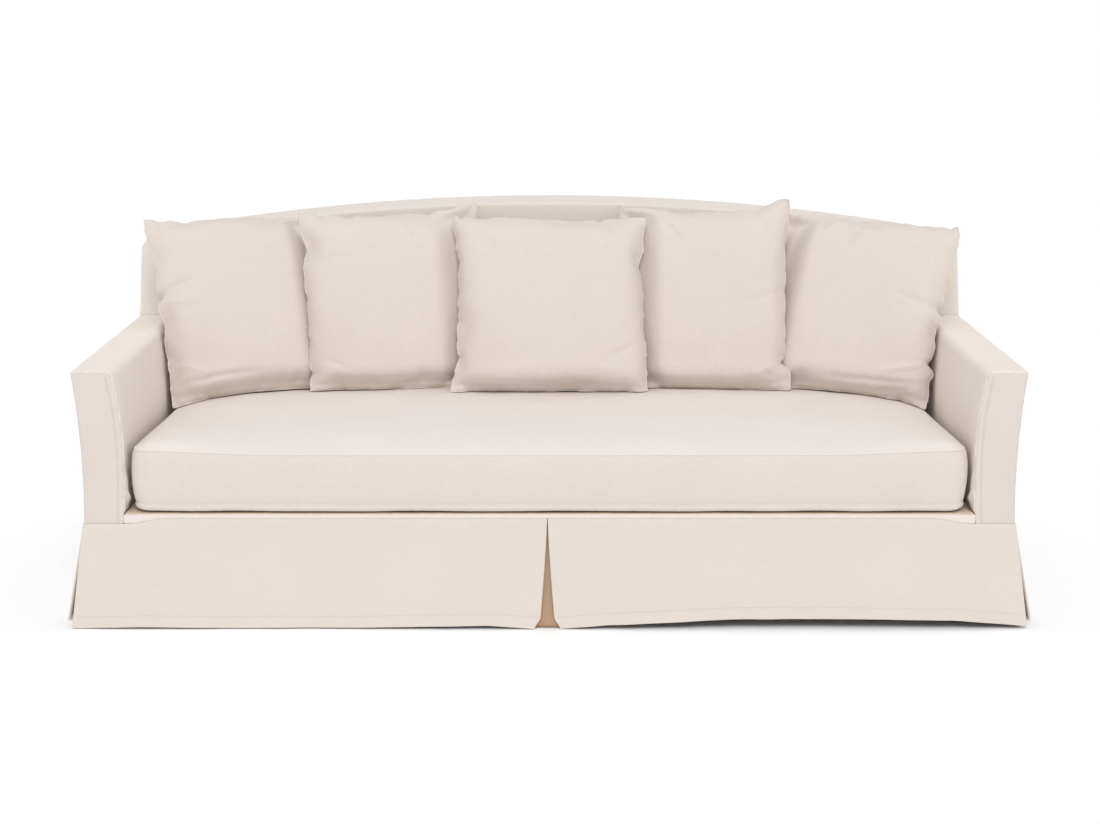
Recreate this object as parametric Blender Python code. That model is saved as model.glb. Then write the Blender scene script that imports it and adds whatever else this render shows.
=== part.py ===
"""A slipcover set for a long sofa.

It is a fitted, hollow cover with a floor-length skirt, its boxed seat cushion
and five knife-edge scatter pillows. Metres, +Z up. The front faces -Y, and the
origin is on the floor under the middle of the set.
"""

import math

import bmesh
import bpy
from mathutils import Vector

# Cloth and the room that pieces keep
CLOTH = 0.002           # one layer of the cover's cloth
GAP = 0.0003            # between two pieces that are sewn edge to edge
SEAM_GAP = 0.0012       # between two pieces whose edges slant
REST = 0.002            # between a filled piece and what it lies on
SMOOTH_ANGLE = 35.0     # sharper edges than this are shaded as edges
ROUGHNESS = 0.92

# The fitted cover
FRONT = -0.468          # face of the arm fronts
REAR = 0.472            # face of the outside back
ARM_TOP = 0.635
DECK_TOP = 0.283        # the seat platform under the cushion
ARM_SEAM = 0.257        # skirt seam under the arms
RAIL_SEAM = 0.270       # skirt seam between the arms
RAIL_SEAM_ENDS = (0.93, 1.03)   # where the seam steps down to the arms

OUTER_WAIST = 1.132     # half width outside the arms, at its narrowest
OUTER_WAIST_Z = 0.370
OUTER_FLARE = 0.017     # how far the arm tops stand out past the waist
INNER_WAIST = 1.029     # half width between the arms, at its narrowest
INNER_WAIST_Z = 0.430
INNER_FLARE = 0.0217
INNER_FOOT_FLARE = 0.010
ARM_ROUND = 0.021       # rounded inner edge of the arm tops
ARM_FRONT_PUFF = 0.004

BACK_FOOT_Y = 0.312     # face of the inside back at the deck
BACK_RECLINE = 0.064    # how far it leans back for each metre of height
BACK_CREST = 0.957      # top of the crowned back, at the middle
BACK_BOW = 0.080        # its fall is this times the square of x
BACK_SHOULDER = 1.138   # half width at the top corners
BACK_CORNER = 0.030     # radius of the top corners
BACK_TOP_SLOPE = 0.009  # the front seam of the boxing lies this much lower
BACK_EASE = 0.004       # slack of the loose panels
BAND_SEAM_X = 0.50      # the band over the top is pieced here

# The skirt
SKIRT_PROUD = 0.0025    # the skirt lies this far in front of the body cloth
FRONT_KICK = 0.0295     # how far each hem stands out past its seam
SIDE_KICK = 0.057
REAR_KICK = 0.030
FRONT_CUT = 0.033       # the panels widen this much to the hem at a corner
SIDE_CUT = 0.026
CORNER_STEP = 0.006     # a side panel starts this far behind the front one
PLEAT_X = -0.005        # the centre-front pleat
PLEAT_PART = 0.0005     # half the slit at the seam, and what the hem adds
PLEAT_SPREAD = 0.018
PLEAT_BEND = 1.3        # 1 would open the slit in a straight line
TIP_START = 0.90        # how far down the skirt the hem corners begin to turn
TIP_FLICK = 0.012       # how far the pleat's hem corners turn out
TIP_FORWARD = 0.3       # and forward, as a share of that
FOLD = 0.006            # from the face of a panel to the back of its return
RETURN = 0.045          # what is folded back behind a pleat's edge
UNDERLAY_SETBACK = 0.0095
UNDERLAY_REACH = 0.065
SKIRT_STEPS = (0.0, 0.25, 0.50, 0.75, 0.93, 1.0)    # 0 at the seam, 1 at the hem
HEM_WAVE = 0.0035
HEM_WAVES = 3.0         # half waves along a panel
REAR_LIFT = 0.004       # height of the side and rear hems above the floor

# Height of the uneven front hem above the floor
#      x      lift
HEM = (
    (-1.170, 0.000),
    (-1.000, 0.004),
    (-0.780, 0.001),
    (-0.480, 0.002),
    (-0.150, 0.008),
    (-0.040, 0.000),
    (0.030, 0.000),
    (0.140, 0.009),
    (0.290, 0.016),
    (0.440, 0.023),
    (0.740, 0.024),
    (0.990, 0.021),
    (1.170, 0.006),
)

# The seat cushion
SEAT_HALF = 1.013       # half width at the front seam
SEAT_TAPER = 0.020      # it is this much narrower at the back
SEAT_FRONT = -0.472
SEAT_REAR = 0.305
SEAT_CORNER = 0.045     # rounded front corners, in plan
SEAT_BOTTOM = 0.287
SEAT_SEAM = 0.430       # top seam of the boxing
SEAT_CROWN = 0.036      # rise of the filled top above that seam
SEAT_SIDE_POWER = 9     # how abruptly the crown falls to the end seams
SEAT_FRONT_POWER = 4    # and to the front and rear seams
SEAT_PUFF = 0.008       # how far the boxing stands out between its seams
SEAT_BOXING = (
    # inset, height above the bottom
    (0.140, 0.000),
    (0.030, 0.000),
    (0.006, 0.010),
    (-0.4 * SEAT_PUFF, 0.040),
    (-SEAT_PUFF, 0.5 * (SEAT_SEAM - SEAT_BOTTOM)),
    (0.000, SEAT_SEAM - SEAT_BOTTOM),
)
SEAT_TOP_RINGS = (0.97, 0.90, 0.76, 0.50, 0.20)     # of the half depth
SEAT_RING_SLOWDOWN = 0.4    # the rings draw in this much less along the length

# The scatter pillows, from left to right as seen from the front. Each has its
# foot in plan, its width and height across the corners, its thickness, and in
# degrees its turn about the upright, its lean and its roll.
PILLOW_COLUMNS = ("x", "y", "width", "height", "thick", "turn", "lean", "roll")
PILLOWS = (
    (-0.794, 0.112, 0.510, 0.525, 0.140, 17.0, 22.0, 2.0),
    (-0.420, 0.142, 0.505, 0.510, 0.135, 8.0, 15.0, 2.3),
    (0.003, 0.097, 0.530, 0.510, 0.150, 0.0, 18.0, 0.0),
    (0.414, 0.142, 0.475, 0.520, 0.135, -8.0, 15.0, 2.5),
    (0.794, 0.112, 0.520, 0.520, 0.140, -17.0, 22.0, -5.0),
)
PILLOW_DRAW = 0.075     # how far the sides pull in between the corners
PILLOW_EDGE = 0.62      # how slowly the filling thickens from the seam
PILLOW_CELLS = 10


def smooth(t):
    """A step from 0 to 1 with level ends."""
    t = min(max(t, 0.0), 1.0)
    return t * t * (3.0 - 2.0 * t)


def read_table(table, x):
    """Value of a two-column table at x, on straight lines between its rows."""
    if x <= table[0][0]:
        return table[0][1]
    for (x0, v0), (x1, v1) in zip(table, table[1:]):
        if x <= x1:
            return v0 + (v1 - v0) * (x - x0) / (x1 - x0)
    return table[-1][1]


def spread(start, end, cells):
    """cells + 1 values from start to end."""
    return [start + (end - start) * i / cells for i in range(cells + 1)]


# ------------------------------------------------------------ shape of the body
def outer_half(z):
    """Half width of the cover at height z, up the arms and then the back."""
    if z <= ARM_TOP:
        reach = (z - OUTER_WAIST_Z) / (ARM_TOP - OUTER_WAIST_Z)
        return OUTER_WAIST + OUTER_FLARE * reach * reach
    arm_half = OUTER_WAIST + OUTER_FLARE
    shoulder_z = BACK_CREST - BACK_BOW * BACK_SHOULDER ** 2 - BACK_CORNER
    part = min((z - ARM_TOP) / (shoulder_z - ARM_TOP), 1.0)
    return arm_half + (BACK_SHOULDER - arm_half) * part


def inner_half(z):
    """Half width between the inside arms, with their rounded top edge."""
    flare = INNER_FLARE if z > INNER_WAIST_Z else INNER_FOOT_FLARE
    low = min(z, ARM_TOP - ARM_ROUND)
    reach = (low - INNER_WAIST_Z) / (ARM_TOP - INNER_WAIST_Z)
    half = INNER_WAIST + flare * reach * reach
    rise = max(z - low, 0.0)
    return half + ARM_ROUND - math.sqrt(max(ARM_ROUND ** 2 - rise ** 2, 0.0))


def back_top(x):
    """Height of the crowned back's rear seam at x, with its rounded corners."""
    past = max(abs(x) - (BACK_SHOULDER - BACK_CORNER), 0.0)
    past = min(past, BACK_CORNER)
    corner = BACK_CORNER - math.sqrt(BACK_CORNER ** 2 - past ** 2)
    return BACK_CREST - BACK_BOW * x * x - corner


def inside_back_y(z):
    return BACK_FOOT_Y + BACK_RECLINE * (z - DECK_TOP)


def seam_z(x):
    """Height of the skirt seam along the front."""
    low, high = RAIL_SEAM_ENDS
    step = smooth((abs(x) - low) / (high - low))
    return RAIL_SEAM + (ARM_SEAM - RAIL_SEAM) * step


def seat_half(y):
    """Half width of the seat cushion at depth y, between its corners."""
    return SEAT_HALF - SEAT_TAPER * (y - SEAT_FRONT) / (SEAT_REAR - SEAT_FRONT)


def seat_top(x, y):
    """Height of the seat cushion's crowned top."""
    across = min(abs(x) / seat_half(y), 1.0)
    middle = 0.5 * (SEAT_FRONT + SEAT_REAR)
    deep = min(abs(y - middle) / (0.5 * (SEAT_REAR - SEAT_FRONT)), 1.0)
    rise = (1.0 - across ** SEAT_SIDE_POWER) * (1.0 - deep ** SEAT_FRONT_POWER)
    return SEAT_SEAM + SEAT_CROWN * rise


# ------------------------------------------------------------ making objects
def cloth_material(name, colour):
    material = bpy.data.materials.new(name)
    material.use_nodes = True
    shader = material.node_tree.nodes["Principled BSDF"]
    shader.inputs["Base Color"].default_value = (*colour, 1.0)
    shader.inputs["Roughness"].default_value = ROUGHNESS
    shader.inputs["Metallic"].default_value = 0.0
    return material


COVER_CLOTH = cloth_material("cover_cloth", (0.78, 0.72, 0.65))
SKIRT_CLOTH = cloth_material("skirt_cloth", (0.77, 0.71, 0.64))
UNDERLAY_CLOTH = cloth_material("underlay_cloth", (0.68, 0.60, 0.50))
CUSHION_CLOTH = cloth_material("cushion_cloth", (0.81, 0.76, 0.70))
PILLOW_CLOTH = cloth_material("pillow_cloth", (0.79, 0.74, 0.67))


def finish(name, mesh_source, material):
    """Turn a bmesh into a smooth-shaded object in the scene."""
    mesh = bpy.data.meshes.new(name)
    mesh_source.to_mesh(mesh)
    mesh_source.free()
    mesh.materials.append(material)
    mesh.shade_smooth()
    mesh.set_sharp_from_angle(angle=math.radians(SMOOTH_ANGLE))
    thing = bpy.data.objects.new(name, mesh)
    bpy.context.scene.collection.objects.link(thing)
    return thing


def sheet(name, rows, outward, material, keep=None):
    """One layer of cloth whose outer face runs through rows of points.

    outward is a direction that the first kept cell faces. keep(row, column)
    says which cells are cut from the cloth, and leaves none out by default.
    """
    shape = bmesh.new()
    grid = [[shape.verts.new(point) for point in row] for row in rows]
    faces = []
    for i in range(len(grid) - 1):
        for j in range(len(grid[0]) - 1):
            if keep is None or keep(i, j):
                corners = (grid[i][j], grid[i][j + 1], grid[i + 1][j + 1], grid[i + 1][j])
                faces.append(shape.faces.new(corners))
    shape.normal_update()
    middle = faces[len(faces) // 2]
    if middle.normal.dot(Vector(outward)) < 0.0:
        bmesh.ops.reverse_faces(shape, faces=shape.faces[:])
    loose = [v for v in shape.verts if not v.link_faces]
    bmesh.ops.delete(shape, geom=loose, context="VERTS")
    bmesh.ops.triangulate(shape, faces=shape.faces[:])
    thing = finish(name, shape, material)
    layer = thing.modifiers.new("cloth thickness", "SOLIDIFY")
    layer.thickness = CLOTH
    layer.offset = -1.0
    layer.use_even_offset = True
    layer.use_quality_normals = True
    return thing


# ------------------------------------------------------------ the fitted cover
def crossing(columns):
    """Parts of the way across the back, closer together at its round corners."""
    corner = 1.0 - BACK_CORNER / BACK_SHOULDER
    inner = spread(-corner, corner, columns)
    bends = [corner + (1.0 - corner) * math.sin(a) for a in (0.52, 1.05, 0.5 * math.pi)]
    return [-b for b in reversed(bends)] + inner + bends


def outside_back():
    """The flat rear panel, from the skirt seam to the crowned top."""
    rows = []
    for up in spread(0.0, 1.0, 7):
        row = []
        for across in crossing(14):
            top = back_top(across * BACK_SHOULDER)
            z = ARM_SEAM + (top - ARM_SEAM) * up
            slack = BACK_EASE * math.sin(math.pi * up) * (1.0 - across ** 4)
            row.append((across * outer_half(z), REAR + slack, z))
        rows.append(row)
    sheet("back_outside", rows, (0, 1, 0), COVER_CLOTH)


def boxing_strip(name, outline, outward):
    """A strip as wide as the back is thick, through points (x, z, level) of its
    rear edge. Where level is 1 the strip slopes down to its front edge."""
    rows = []
    for part in spread(0.0, 1.0, 3):
        row = []
        for x, z, level in outline:
            z_here = z - BACK_TOP_SLOPE * part * level
            rear = REAR - CLOTH - GAP
            front = inside_back_y(z_here) + CLOTH + GAP
            row.append((x, rear + (front - rear) * part, z_here))
        rows.append(row)
    sheet(name, rows, outward, COVER_CLOTH)


def back_boxing():
    """The band of the back, pieced from five strips: three over the crowned top,
    and one down each side, which turns the round corner first."""
    half_seam = 0.5 * SEAM_GAP
    corner_x = BACK_SHOULDER - BACK_CORNER
    middle = spread(half_seam - BAND_SEAM_X, BAND_SEAM_X - half_seam, 10)
    boxing_strip("back_boxing", [(x, back_top(x), 1.0) for x in middle], (0, 0, 1))
    for side, word in ((-1, "left"), (1, "right")):
        outer = spread(side * (BAND_SEAM_X + half_seam), side * (corner_x - half_seam), 6)
        boxing_strip(f"back_boxing_{word}", [(x, back_top(x), 1.0) for x in outer], (0, 0, 1))
        strip = []
        for angle in spread(0.0, 0.5 * math.pi, 4):
            x = corner_x + max(BACK_CORNER * math.sin(angle), half_seam)
            strip.append((side * x, back_top(x), 1.0))
        for z in spread(strip[-1][1], ARM_TOP - GAP, 4)[1:]:
            strip.append((side * outer_half(z), z, 0.0))
        boxing_strip(f"back_side_{word}", strip, (side, 0, 0))


def inside_back():
    """The panel that the pillows lean on. It is cut to a T: narrow between the
    arms, and full width above them."""
    step = ARM_TOP + GAP
    heights = spread(DECK_TOP + GAP, step, 4)
    above_arms = [0.3, 0.65, 1.0]
    rows = []
    for up in [None] * len(heights) + above_arms:
        z = heights[min(len(rows), len(heights) - 1)]
        side = inner_half(min(z, ARM_TOP)) - GAP
        inner = [side * part for part in spread(-1.0, 1.0, 14)]
        corners = [BACK_SHOULDER * part for part in crossing(1)[-4:]]
        row = []
        for x in [-c for c in reversed(corners)] + inner + corners:
            top = back_top(x) - BACK_TOP_SLOPE
            here = z if up is None else step + (top - step) * up
            wide = 1.0 if abs(x) <= side else outer_half(here) / BACK_SHOULDER
            loose = up is not None and up < 1.0
            puff = BACK_EASE * math.cos(0.5 * math.pi * min(abs(x), 1.0)) if loose else 0.0
            row.append((x * wide, inside_back_y(here) - puff, here))
        rows.append(row)
    last = len(rows[0]) - 1
    beside = len(corners)

    def keep(row, column):
        return row >= len(heights) - 1 or beside <= column < last - beside

    sheet("back_inside", rows, (0, -1, 0), COVER_CLOTH, keep)


def arm(side, word):
    """Three panels: the inside arm, which also makes the rounded top, the
    outside arm and the front. side is -1 for the left arm and 1 for the right."""
    corner_z = ARM_TOP - ARM_ROUND
    section = []
    for x in spread(outer_half(ARM_TOP), inner_half(ARM_TOP), 2):
        section.append((x, ARM_TOP))
    for angle in spread(0.0, 0.5 * math.pi, 4)[1:]:
        z = corner_z + ARM_ROUND * math.cos(angle)
        section.append((inner_half(z), z))
    for z in spread(corner_z, DECK_TOP + GAP, 6)[1:]:
        section.append((inner_half(z), z))
    rows = []
    for part in spread(0.0, 1.0, 5):
        row = []
        for x, z in section:
            front = FRONT + CLOTH + GAP
            rear = inside_back_y(z) - GAP
            row.append((side * x, front + (rear - front) * part, z))
        rows.append(row)
    sheet(f"arm_{word}_inside", rows, (-side, 0, 0), COVER_CLOTH)

    rows = []
    for z in spread(ARM_SEAM, ARM_TOP - CLOTH - 2 * GAP, 7):
        row = []
        for y in spread(FRONT + CLOTH + GAP, REAR - CLOTH - GAP, 6):
            row.append((side * outer_half(z), y, z))
        rows.append(row)
    sheet(f"arm_{word}_outside", rows, (side, 0, 0), COVER_CLOTH)

    rows = []
    round_steps = [corner_z + ARM_ROUND * s for s in (0.5, 0.85, 1.0)]
    for z in spread(ARM_SEAM, corner_z, 7) + round_steps:
        row = []
        for part in spread(0.0, 1.0, 4):
            x = inner_half(z) + (outer_half(z) - inner_half(z)) * part
            puff = ARM_FRONT_PUFF * math.sin(math.pi * part)
            puff *= math.sin(math.pi * (z - ARM_SEAM) / (ARM_TOP - ARM_SEAM))
            row.append((side * x, FRONT - puff, z))
        rows.append(row)
    sheet(f"arm_{word}_front", rows, (0, -1, 0), COVER_CLOTH)


def seat_deck():
    """The platform that the seat cushion lies on, and the strip that drops from
    its front edge to the skirt seam."""
    half = inner_half(DECK_TOP)
    rows = []
    for y in spread(FRONT + CLOTH + GAP, inside_back_y(DECK_TOP), 4):
        rows.append([(half * part, y, DECK_TOP) for part in spread(-1.0, 1.0, 8)])
    sheet("seat_deck", rows, (0, 0, 1), COVER_CLOTH)

    half = inner_half(DECK_TOP) - 2 * GAP
    rows = []
    for up in (0.0, 1.0):
        row = []
        for part in spread(-1.0, 1.0, 24):
            x = half * part
            row.append((x, FRONT, seam_z(x) + (DECK_TOP - seam_z(x)) * up))
        rows.append(row)
    sheet("front_rail", rows, (0, -1, 0), COVER_CLOTH)


# ------------------------------------------------------------ the skirt
def front_fold(side, t):
    """Where the front skirt turns back at the corner pleat, in plan."""
    x = outer_half(ARM_SEAM) + CLOTH + FRONT_CUT * t
    return Vector((side * x, FRONT - SKIRT_PROUD - FRONT_KICK * t))


def side_fold(side, end, t):
    """Where the side skirt turns back; end is -1 at the front, 1 at the rear."""
    x = outer_half(ARM_SEAM) + SKIRT_PROUD + SIDE_KICK * t
    y = FRONT + CORNER_STEP + SIDE_CUT * t if end < 0 else REAR - CORNER_STEP - SIDE_CUT * t
    return Vector((side * x, y))


def rear_fold(side, t):
    x = outer_half(ARM_SEAM) + CLOTH + FRONT_CUT * t
    return Vector((side * x, REAR + SKIRT_PROUD + REAR_KICK * t))


def centre_fold(side, t):
    """The front skirt's fold beside the centre pleat, with its turned-out tip."""
    tip = TIP_FLICK * smooth((t - TIP_START) / (1.0 - TIP_START))
    x = PLEAT_X + side * (PLEAT_PART + PLEAT_SPREAD * t ** PLEAT_BEND + tip)
    return Vector((x, FRONT - SKIRT_PROUD - FRONT_KICK * t - TIP_FORWARD * tip))


def skirt_z(x, t, front):
    """Height at t down the skirt, with the uneven hem of the front."""
    top = (seam_z(x) if front else ARM_SEAM) - SEAM_GAP
    hem = read_table(HEM, x) if front else REAR_LIFT
    return top + (hem - top) * t


def skirt(name, start, end, outward, columns, front=False):
    """A flat panel whose edges turn back behind it at its two pleats."""
    out = Vector(outward)
    rows = []
    for t in SKIRT_STEPS:
        first = start(t)
        last = end(t)
        along = (last - first).normalized()
        plan = [first + RETURN * along - FOLD * out, first - FOLD * out]
        for part in spread(0.0, 1.0, columns):
            wave = HEM_WAVE * math.sin(math.pi * part) * math.sin(HEM_WAVES * math.pi * part)
            plan.append(first.lerp(last, part) + wave * t * out)
        plan += [last - FOLD * out, last - RETURN * along - FOLD * out]
        rows.append([(p.x, p.y, skirt_z(p.x, t, front)) for p in plan])
    sheet(name, rows, (out.x, out.y, 0.0), SKIRT_CLOTH)


def corner_underlay(name, side, end):
    """The strip behind a corner pleat, bent round the corner."""
    rows = []
    for t in SKIRT_STEPS:
        face = front_fold(side, t) if end < 0 else rear_fold(side, t)
        flank = side_fold(side, end, t)
        inward_x = Vector((-side, 0.0))
        inward_y = Vector((0.0, -end))
        back = UNDERLAY_SETBACK + CLOTH
        first = face + UNDERLAY_REACH * inward_x + back * inward_y
        near = face + back * inward_x + back * inward_y
        far = flank + back * inward_x + back * inward_y
        last = flank + back * inward_x + UNDERLAY_REACH * inward_y
        z = skirt_z(face.x, t, end < 0)
        rows.append([(p.x, p.y, z) for p in (first, near, far, last)])
    sheet(name, rows, (side, end, 0.0), UNDERLAY_CLOTH)


def centre_underlay():
    """The flat strip behind the centre-front pleat."""
    rows = []
    for t in SKIRT_STEPS:
        y = FRONT - SKIRT_PROUD - FRONT_KICK * t + UNDERLAY_SETBACK
        row = []
        for part in spread(-1.0, 1.0, 2):
            x = PLEAT_X + UNDERLAY_REACH * part
            row.append((x, y, skirt_z(x, t, True)))
        rows.append(row)
    sheet("pleat_centre", rows, (0, -1, 0), UNDERLAY_CLOTH)


def skirts():
    skirt("skirt_front_left", lambda t: front_fold(-1, t), lambda t: centre_fold(-1, t),
          (0, -1), 16, front=True)
    skirt("skirt_front_right", lambda t: centre_fold(1, t), lambda t: front_fold(1, t),
          (0, -1), 16, front=True)
    skirt("skirt_back", lambda t: rear_fold(-1, t), lambda t: rear_fold(1, t), (0, 1), 18)
    for side, word in ((-1, "left"), (1, "right")):
        skirt(f"skirt_{word}", lambda t: side_fold(side, -1, t),
              lambda t: side_fold(side, 1, t), (side, 0), 10)
        corner_underlay(f"pleat_front_{word}", side, -1)
        corner_underlay(f"pleat_back_{word}", side, 1)
    centre_underlay()


# ------------------------------------------------------------ filled pieces
def seat_outline(inset):
    """The cushion's outline in plan, inset from its boxing, front corners round."""
    radius = SEAT_CORNER
    front = SEAT_FRONT + inset
    rear = SEAT_REAR - inset
    straight = seat_half(front) - inset - radius
    right = []
    for angle in spread(0.0, 0.5 * math.pi, 4)[1:]:
        x = straight + radius * math.sin(angle)
        right.append((x, front + radius - radius * math.cos(angle)))
    for y in spread(front + radius, rear, 4)[1:]:
        right.append((seat_half(y) - inset, y))
    front_edge = [(x, front) for x in spread(-straight, straight, 12)]
    rear_half = seat_half(rear) - inset
    rear_edge = [(x, rear) for x in spread(rear_half, -rear_half, 12)[1:-1]]
    left = [(-x, y) for x, y in reversed(right)]
    return front_edge + right + rear_edge + left


def seat_cushion():
    """One long boxed cushion with a crowned top and a rounded bottom edge."""
    shape = bmesh.new()
    rings = []
    for inset, rise in SEAT_BOXING:
        ring = []
        for x, y in seat_outline(inset):
            ring.append(shape.verts.new((x, min(y, SEAT_REAR), SEAT_BOTTOM + rise)))
        rings.append(ring)
    middle_y = 0.5 * (SEAT_FRONT + SEAT_REAR)
    for shrink in SEAT_TOP_RINGS:
        ring = []
        for x, y in seat_outline(0.0):
            x = x * (1.0 - SEAT_RING_SLOWDOWN * (1.0 - shrink))
            y = middle_y + (y - middle_y) * shrink
            ring.append(shape.verts.new((x, y, seat_top(x, y))))
        rings.append(ring)
    for lower, upper in zip(rings, rings[1:]):
        for i in range(len(lower)):
            k = (i + 1) % len(lower)
            shape.faces.new((lower[i], lower[k], upper[k], upper[i]))
    shape.faces.new(list(reversed(rings[0])))
    shape.faces.new(rings[-1])
    bmesh.ops.triangulate(shape, faces=shape.faces[:])
    bmesh.ops.recalc_face_normals(shape, faces=shape.faces[:])
    finish("seat_cushion", shape, CUSHION_CLOTH)


def pillow_point(row, u, v, face):
    """A point of a filled pillow. u and v run from -1 to 1 across and up its
    face, and face is -1 on its front and 1 on its back."""
    half_width = 0.5 * row["width"] * (1.0 - PILLOW_DRAW * (1.0 - v ** 4))
    half_height = 0.5 * row["height"] * (1.0 - PILLOW_DRAW * (1.0 - u ** 4))
    x = u * half_width
    z = v * half_height
    fill = max((1.0 - u ** 2) * (1.0 - v ** 2), 0.0)
    y = face * 0.5 * row["thick"] * fill ** PILLOW_EDGE
    roll = math.radians(row["roll"])
    lean = math.radians(row["lean"])
    turn = math.radians(row["turn"])
    x, z = x * math.cos(roll) - z * math.sin(roll), x * math.sin(roll) + z * math.cos(roll)
    z += 0.5 * row["height"] * (1.0 - PILLOW_DRAW)
    y, z = y * math.cos(lean) + z * math.sin(lean), z * math.cos(lean) - y * math.sin(lean)
    x, y = x * math.cos(turn) - y * math.sin(turn), x * math.sin(turn) + y * math.cos(turn)
    x += row["x"]
    y += row["y"]
    z += SEAT_SEAM + SEAT_CROWN
    y = min(y, inside_back_y(z) - REST - BACK_EASE)
    z = max(z, seat_top(x, y) + REST)
    if z < ARM_TOP:
        limit = inner_half(z) - REST
        x = min(max(x, -limit), limit)
    return (x, y, z)


def pillow(number, row):
    """A knife-edge pillow: two faces that meet in one seam all round."""
    shape = bmesh.new()
    steps = [math.sin(0.5 * math.pi * part) for part in spread(-1.0, 1.0, PILLOW_CELLS)]
    sheets = {}
    for face in (-1, 1):
        for i, u in enumerate(steps):
            for j, v in enumerate(steps):
                rim = i in (0, PILLOW_CELLS) or j in (0, PILLOW_CELLS)
                key = (i, j, 0 if rim else face)
                if key not in sheets:
                    sheets[key] = shape.verts.new(pillow_point(row, u, v, face))
    half = PILLOW_CELLS // 2
    for face in (-1, 1):
        for i in range(PILLOW_CELLS):
            for j in range(PILLOW_CELLS):
                corners = []
                for a, b in ((i, j), (i + 1, j), (i + 1, j + 1), (i, j + 1)):
                    rim = a in (0, PILLOW_CELLS) or b in (0, PILLOW_CELLS)
                    corners.append(sheets[(a, b, 0 if rim else face)])
                if (i < half) != (j < half):
                    corners = corners[1:] + corners[:1]
                shape.faces.new(corners[:3])
                shape.faces.new((corners[2], corners[3], corners[0]))
    bmesh.ops.recalc_face_normals(shape, faces=shape.faces[:])
    finish(f"pillow_{number}", shape, PILLOW_CLOTH)


def build():
    for thing in list(bpy.data.objects):
        bpy.data.objects.remove(thing, do_unlink=True)
    outside_back()
    back_boxing()
    inside_back()
    arm(-1, "left")
    arm(1, "right")
    seat_deck()
    skirts()
    seat_cushion()
    for number, values in enumerate(PILLOWS, start=1):
        pillow(number, dict(zip(PILLOW_COLUMNS, values)))


build()
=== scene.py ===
import math

import bpy
import numpy as np
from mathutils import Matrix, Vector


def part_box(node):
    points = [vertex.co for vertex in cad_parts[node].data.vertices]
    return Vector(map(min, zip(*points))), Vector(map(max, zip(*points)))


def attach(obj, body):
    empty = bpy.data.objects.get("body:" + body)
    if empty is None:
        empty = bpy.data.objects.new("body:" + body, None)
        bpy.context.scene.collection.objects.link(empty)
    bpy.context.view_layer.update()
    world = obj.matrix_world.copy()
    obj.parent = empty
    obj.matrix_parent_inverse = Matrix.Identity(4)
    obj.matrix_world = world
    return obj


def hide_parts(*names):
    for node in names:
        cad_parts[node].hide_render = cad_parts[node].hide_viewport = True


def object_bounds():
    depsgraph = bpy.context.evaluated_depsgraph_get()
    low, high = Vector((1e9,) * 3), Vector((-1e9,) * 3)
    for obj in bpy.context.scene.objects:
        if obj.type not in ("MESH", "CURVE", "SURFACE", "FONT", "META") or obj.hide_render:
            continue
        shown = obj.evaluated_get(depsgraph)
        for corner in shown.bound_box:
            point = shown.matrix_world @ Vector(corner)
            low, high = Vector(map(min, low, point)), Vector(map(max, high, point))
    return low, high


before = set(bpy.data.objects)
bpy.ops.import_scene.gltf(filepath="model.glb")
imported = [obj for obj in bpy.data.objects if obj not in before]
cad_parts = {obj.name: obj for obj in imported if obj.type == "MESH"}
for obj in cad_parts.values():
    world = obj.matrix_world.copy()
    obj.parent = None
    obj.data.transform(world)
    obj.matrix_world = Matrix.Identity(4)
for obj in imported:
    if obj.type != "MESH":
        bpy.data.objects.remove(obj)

cad_low, cad_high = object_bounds()

# ------------------------------------------------------------------ studio
# A pale seamless floor, even white light from all round, one soft key light
# from above and in front, and a camera a little above the top of the back.
FLOOR_REACH = 300.0
FLOOR_DROP = 0.001
CAMERA_PLACE = (0.0014, -4.939, 1.5407)
CAMERA_PITCH = 12.66
CAMERA_LENS = 62.37
CAMERA_CLIP = 900.0
ROOM_TINT = "#FCFDFF"
ROOM_LIGHT = 0.735


def linear(hex_colour):
    """An sRGB hex colour as linear red, green, blue and alpha."""
    parts = [int(hex_colour[i:i + 2], 16) / 255.0 for i in (1, 3, 5)]
    tone = [p / 12.92 if p <= 0.04045 else ((p + 0.055) / 1.055) ** 2.4 for p in parts]
    return (*tone, 1.0)


def new_thing(name, data):
    """A named thing in the scene that shows a mesh, a light or a camera."""
    thing = bpy.data.objects.new(name, data)
    bpy.context.scene.collection.objects.link(thing)
    return thing


def new_finish(name, **looks):
    """A finish and its shader. A look names an input of the shader, with its
    spaces as underscores."""
    finish = bpy.data.materials.new(name)
    finish.use_nodes = True
    shader = finish.node_tree.nodes["Principled BSDF"]
    for key, value in looks.items():
        shader.inputs[key.replace("_", " ")].default_value = value
    return finish, shader


# Matt pale studio paint, rolled smooth
floor_paint, _ = new_finish("matt studio paint", Base_Color=linear("#FFFFFF"),
                            Roughness=0.95, Specular_IOR_Level=0.1)
floor_mesh = bpy.data.meshes.new("studio_floor")
floor_mesh.from_pydata(
    [(FLOOR_REACH * i, FLOOR_REACH * j, cad_low.z - FLOOR_DROP)
     for i, j in ((-1, -1), (1, -1), (1, 1), (-1, 1))], [], [(0, 1, 2, 3)])
floor_mesh.materials.append(floor_paint)
new_thing("studio_floor", floor_mesh)


def soft_key(name, elevation, azimuth, power, spread, tint):
    """A broad soft light from far away, at an elevation and an azimuth."""
    light = bpy.data.lights.new(name, "SUN")
    light.energy = power
    light.angle = math.radians(spread)
    light.color = linear(tint)[:3]
    lamp = new_thing(name, light)
    lamp.rotation_euler = (math.radians(90.0 - elevation), 0.0, math.radians(azimuth))


soft_key("front_key", elevation=48.0, azimuth=3.0, power=1.33, spread=30.0,
         tint="#FBFCFF")

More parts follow.
